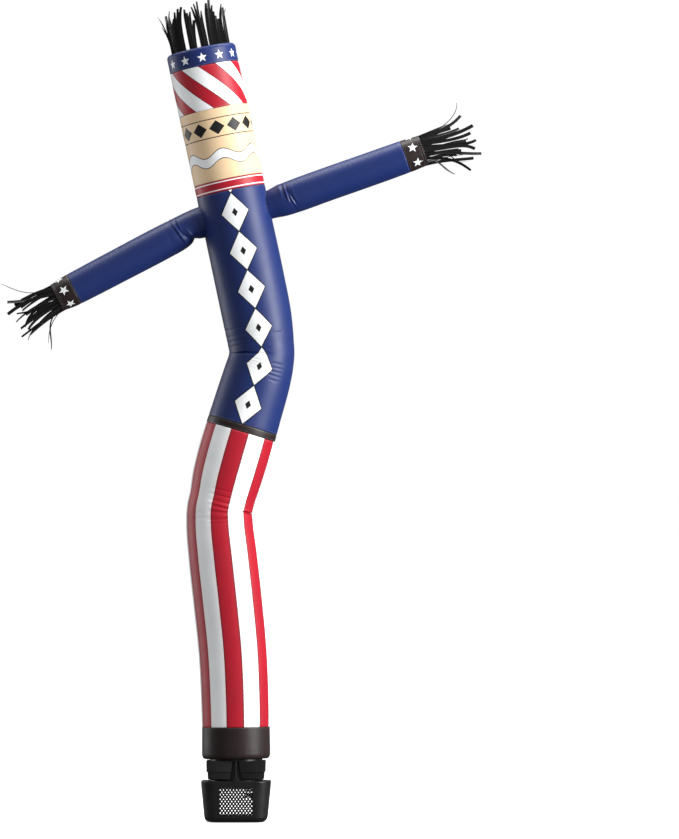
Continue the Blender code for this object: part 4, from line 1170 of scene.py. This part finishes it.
# %% Nets
CELL_X, CELL_Z, BAR, NET_THICK, SET_BACK = 0.0061, 0.0085, 0.0042, 0.0020, 0.0006
FRONT_COLUMNS, FRONT_ROWS = 21, 13
FRONT_CELL = WINDOW_WIDE / FRONT_COLUMNS, WINDOWS["front"][2] / FRONT_ROWS
# places that a net leaves free: right and up from the window's middle, then width and height
COVER = (-0.0180, 0.0100, 0.0760, 0.0620)
SWITCH = (-0.0450, 0.0420, 0.0300, 0.0210)
INLET = (-0.0450, 0.0140, 0.0300, 0.0210)


def on_face(points, name):
    """From a window's own axes (right, up the slope, outwards) to the figure's."""
    quarter, middle, _ = WINDOWS[name]
    out = np.interp(middle, HOUSING[-2:, 0], HOUSING[-2:, 1])
    x, up, off = points[:, 0], points[:, 1], points[:, 2]
    y = -out - off * math.cos(LEAN) - up * math.sin(LEAN)
    z = middle + up * math.cos(LEAN) - off * math.sin(LEAN)
    return turned(np.stack([x, y, z], axis=-1), quarter)


def merged(points, faces):
    """Joins points that fall together, to a hundredth of a millimetre."""
    _, first, place = np.unique(np.round(points, 5), axis=0, return_index=True, return_inverse=True)
    return points[first], place.reshape(-1)[faces]


def net(name, node, kept=(), start=None, grow=1.0):
    """One slanting bar in each cell, two four-sided faces each, mirrored by the cell's own parity.

    Cells begin at start, and points past the window's edge are drawn back to it.
    """
    half = np.array([WINDOW_WIDE / 2, WINDOWS[name][2] / 2])
    fitted = 2 * half / np.round(2 * half / (CELL_X, CELL_Z))
    cx, cz = fitted if start is None else np.array(FRONT_CELL) * grow
    start = -half if start is None else np.array(start)
    n, m = np.ceil((half - start) / (cx, cz) - 0.02).astype(int)
    slant = math.hypot(cx, cz)
    hx, hz = BAR / 2 * slant / cz, BAR / 2 * slant / cx
    bar = np.array([(0, 0), (hx, 0), (cx, cz - hz), (cx, cz), (0, 0), (cx, cz), (cx - hx, cz), (0, hz)])
    i, j = (k.ravel() for k in np.meshgrid(np.arange(n), np.arange(m), indexing="ij"))
    middle = start + np.stack([(i + 0.5) * cx, (j + 0.5) * cz], axis=-1)
    clear = np.all(np.abs(middle) < half + 0.25 * cx, axis=1)
    for x, y, wide, tall in kept:
        clear &= (np.abs(middle[:, 0] - x) > wide / 2) | (np.abs(middle[:, 1] - y) > tall / 2)
    i, j, middle = i[clear], j[clear], middle[clear]
    mirror = ((i + j) % 2 == 1)[:, None]
    x = np.where(mirror, cx - bar[None, :, 0], bar[None, :, 0]) + middle[:, :1] - cx / 2
    y = bar[None, :, 1] + middle[:, 1:] - cz / 2
    x, y = np.clip(x, -half[0], half[0]), np.clip(y, -half[1], half[1])
    corners = np.stack([x, y, 0 * x - SET_BACK], axis=-1)
    faces = np.arange(corners[..., 0].size).reshape(-1, 4)
    flipped = np.repeat(mirror[:, 0], 2)
    faces[flipped] = faces[flipped][:, ::-1]
    points, faces = merged(corners.reshape(-1, 3), faces)
    whole = np.array([len(set(face)) == 4 for face in faces.tolist()])
    piece = add_mesh(f"{name}_net", on_face(points, name), faces[whole], net_plastic, smooth_faces=False)
    wall = piece.modifiers.new("thickness", "SOLIDIFY")
    wall.thickness, wall.offset = NET_THICK, -1.0
    harden(piece, 0.0003, 50.0, 1)
    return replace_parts(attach(piece, "body"), node)


def rim(name, window, place, wide, low=-0.0030, high=0.0006):
    """A flat frame round a rectangle in a window's face: four corners at four stations of its section."""
    x, y, w, h = place
    rows = []
    for inset, off in ((0.0, low), (0.0, high), (wide, high), (wide, low)):
        sx, sy = w / 2 - inset, h / 2 - inset
        rows += [(x + a * sx, y + b * sy, off) for a, b in ((1, 1), (-1, 1), (-1, -1), (1, -1))]
    flat = on_face(np.array(rows), window).reshape(4, 4, 3)
    piece = wrap(name, flat, black_plastic)
    piece.data.polygons.foreach_set("use_smooth", np.full(16, False))
    harden(piece, 0.0004, 40.0)
    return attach(piece, "body")


# from the camera the back's cells lie a third of a cell beside the front's, so thin diamonds of light show,
# and they are a hundredth larger, because they are farther away
BACK_START, BACK_GROW = (-0.0693, -0.0687), 1.0102
net("front", "front_grille")
net("side", "side_grille", [COVER])
net("back", "back_grille", [SWITCH, INLET], BACK_START, BACK_GROW)
net("left", "left_grille")
for name, (_, _, high) in WINDOWS.items():
    rim(f"{name}_frame", name, (0.0, 0.0, WINDOW_WIDE, high), 0.0018)
print("cells in the front net:", FRONT_COLUMNS * FRONT_ROWS)

# %% [markdown]
# ## The duct and its flange
#
# The round parts are turned shapes: one profile of radius and height carried round the upright axis. They
# are made with many more sides than the solids have, so that the flange's edge is a true circle up close.

# %% Neck and flange
DECK_TOP, NECK_RADIUS, NECK_WALL, FLANGE_RADIUS, FLANGE_TOP = 0.1515, 0.097, 0.0025, 0.1185, 0.2435
FOOT = DECK_TOP + 0.0003


def turned_ring(name, profile, node, sides=128):
    """Each row's radius times cosine and sine of the turn, at the row's height."""
    profile = np.array(profile)
    a = np.linspace(0.0, 2 * math.pi, sides, endpoint=False)[:, None]
    ring = np.stack([profile[:, 0] * np.cos(a), profile[:, 0] * np.sin(a), profile[:, 1] + 0 * a], axis=-1)
    piece = wrap(name, ring, black_plastic)
    harden(piece, 0.0004, 30.0)
    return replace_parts(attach(piece, "body"), node)


turned_ring("duct", [
    (NECK_RADIUS - NECK_WALL, FOOT), (NECK_RADIUS + 0.0030, FOOT), (NECK_RADIUS + 0.0030, FOOT + 0.0022),
    (NECK_RADIUS + 0.0012, FOOT + 0.0036), (NECK_RADIUS, FOOT + 0.0060), (NECK_RADIUS, FLANGE_LOW - 0.0003),
    (NECK_RADIUS - NECK_WALL, FLANGE_LOW - 0.0003),
], "neck")
turned_ring("flange", [
    (NECK_RADIUS - NECK_WALL, FLANGE_LOW),
    (FLANGE_RADIUS - 0.0010, FLANGE_LOW), (FLANGE_RADIUS, FLANGE_LOW + 0.0006),
    (FLANGE_RADIUS - 0.0002, FLANGE_LOW + 0.0014), (NECK_RADIUS + 0.0060, FLANGE_TOP - 0.0006),
    (NECK_RADIUS + 0.0030, FLANGE_TOP), (NECK_RADIUS - NECK_WALL, FLANGE_TOP),
], "outlet_flange")
print("duct and flange sides:", 128)

# %% [markdown]
# ## Soft edges on the small mouldings
#
# The small plastic pieces have the right shape already. A copy of each gets its loose triangles joined, its
# flat faces made whole, and its edges rounded by half a millimetre, because no mould gives a knife edge.

# %% Soften the mouldings
def softened(node, width, material, body_name="body"):
    """A copy with doubles merged, flat neighbours dissolved and a rounded edge."""
    bm = bmesh.new()
    bm.from_mesh(nodes[node].data)
    bmesh.ops.remove_doubles(bm, verts=bm.verts, dist=0.00002)
    bmesh.ops.dissolve_limit(bm, angle_limit=math.radians(1.0), verts=bm.verts, edges=bm.edges)
    mesh = bpy.data.meshes.new(f"{node}_soft")
    bm.to_mesh(mesh)
    bm.free()
    mesh.transform(nodes[node].matrix_world)
    mesh.materials.clear()
    mesh.materials.append(material)
    mesh.polygons.foreach_set("use_smooth", np.full(len(mesh.polygons), True))
    piece = put_in_scene(f"{node}_soft", mesh)
    harden(piece, width, 25.0)
    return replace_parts(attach(piece, body_name), node)


softened("deck", 0.0005, black_plastic)
for number in range(1, 5):
    softened(f"duct_block_{number}", 0.0008, black_plastic)
for node, width in (("front_tie_bar", 0.0006), ("back_tie_bar", 0.0006), ("side_cover", 0.0005),
                    ("switch_bezel", 0.0003), ("inlet_plate", 0.0003)):
    softened(node, width, black_plastic)
softened("switch_rocker", 0.0004, switch_plastic, "rocker")
softened("round_plug", 0.0005, rubber, "body")
print("softened mouldings:", 12)

# %% [markdown]
# ## Floor and light
#
# The picture was taken in a white studio. One tall box of light far to the right draws the long bright line
# on each tube. A second one behind on the left is seen only as a pale rim, and a third hangs over the figure
# and lights the tops of the arms. The white room fills the shadows, more from above than from below. It
# shows only weakly in the shine of the cloth, because there the colours in the photo stay deep.

# %% Floor, light and picture
floor_paint, _, floor_shader = new_material("floor paint")
floor_shader.inputs["Base Color"].default_value = (0.86, 0.86, 0.86, 1.0)
floor_shader.inputs["Roughness"].default_value = 0.9
floor_shader.inputs["Emission Color"].default_value = (1.0, 1.0, 1.0, 1.0)
floor_shader.inputs["Emission Strength"].default_value = 0.50
corners = np.array([(-40, -40, -0.0005), (40, -40, -0.0005), (40, 60, -0.0005), (-40, 60, -0.0005)], float)
floor = add_mesh("floor", corners, np.array([[0, 1, 2, 3]]), floor_paint, smooth_faces=False)
floor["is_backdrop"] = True
floor.visible_diffuse = floor.visible_glossy = False


def soft_box(name, bearing, far, height, wide, tall, watts, mirrored=True):
    """A rectangular lamp on a bearing from the camera's side, to the right, with its face to the tube."""
    lamp = bpy.data.lights.new(name, "AREA")
    lamp.shape, lamp.size, lamp.size_y, lamp.energy = "RECTANGLE", wide, tall, watts
    box = put_in_scene(name, lamp)
    a = math.radians(bearing)
    box.location = (far * math.sin(a), -far * math.cos(a), height)
    tip = math.atan2(height - 1.5, far)
    box.rotation_euler = (math.pi / 2 - tip, 0.0, a)
    box.visible_glossy = mirrored
    return box


soft_box("key", 64.0, 6.5, 3.1, 2.2, 5.2, 880.0)
soft_box("rim", 242.0, 4.0, 1.8, 1.6, 3.6, 62.0).visible_diffuse = False
above = soft_box("above", 180.0, 0.6, 5.2, 5.0, 1.6, 185.0)
above.rotation_euler = (0.0, 0.0, 0.0)

# the room's light from the side, what it gains from above, and the share kept out of the shine
ROOM_SIDE, ROOM_UP, KEPT_OUT = 0.57, 0.30, 0.75
world = bpy.data.worlds.new("studio")
bpy.context.scene.world = world
world.use_nodes = True
tree = world.node_tree
room, seen = tree.nodes["Background"], tree.nodes.new("ShaderNodeBackground")
share = tree.nodes.new("ShaderNodeMixShader")
path = tree.nodes.new("ShaderNodeLightPath")
upward = tree.nodes.new("ShaderNodeSeparateXYZ")
tree.links.new(tree.nodes.new("ShaderNodeTexCoord").outputs["Generated"], upward.inputs[0])
strength = Wire(tree, upward.outputs[2]) * ROOM_UP + ROOM_SIDE
strength = strength * (Wire(tree, path.outputs["Is Glossy Ray"]) * -KEPT_OUT + 1.0)
tree.links.new(strength.socket, room.inputs["Strength"])
room.inputs["Color"].default_value = (0.97, 0.98, 1.0, 1.0)
seen.inputs["Color"].default_value = (1.0, 1.0, 1.0, 1.0)
tree.links.new(path.outputs["Is Camera Ray"], share.inputs["Fac"])
tree.links.new(room.outputs[0], share.inputs[1])
tree.links.new(seen.outputs[0], share.inputs[2])
tree.links.new(share.outputs[0], tree.nodes["World Output"].inputs["Surface"])
bpy.context.scene.view_settings.view_transform = "Standard"
print("lamps:", len(bpy.data.lights), "and a room that gives", ROOM_SIDE, "from the side")

# %% [markdown]
# ## Cloth facts
#
# Each length was told by the flat size it was cut to when it was sewn. Here those sizes are worked out again
# but not shown, and the dressed figure's box is printed with how far it grew past the solids' box, so that
# cloth that grew or shrank would show up.

for name, _, low, high, _, _ in LENGTHS:
    high - low

new_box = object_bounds()
print("dressed box:", [tuple(round(x, 4) for x in c) for c in new_box])
grown = [tuple(round(1000 * (a - b), 1) for a, b in zip(n, c)) for n, c in zip(new_box, cad_box)]
print("grown by, mm:", grown)
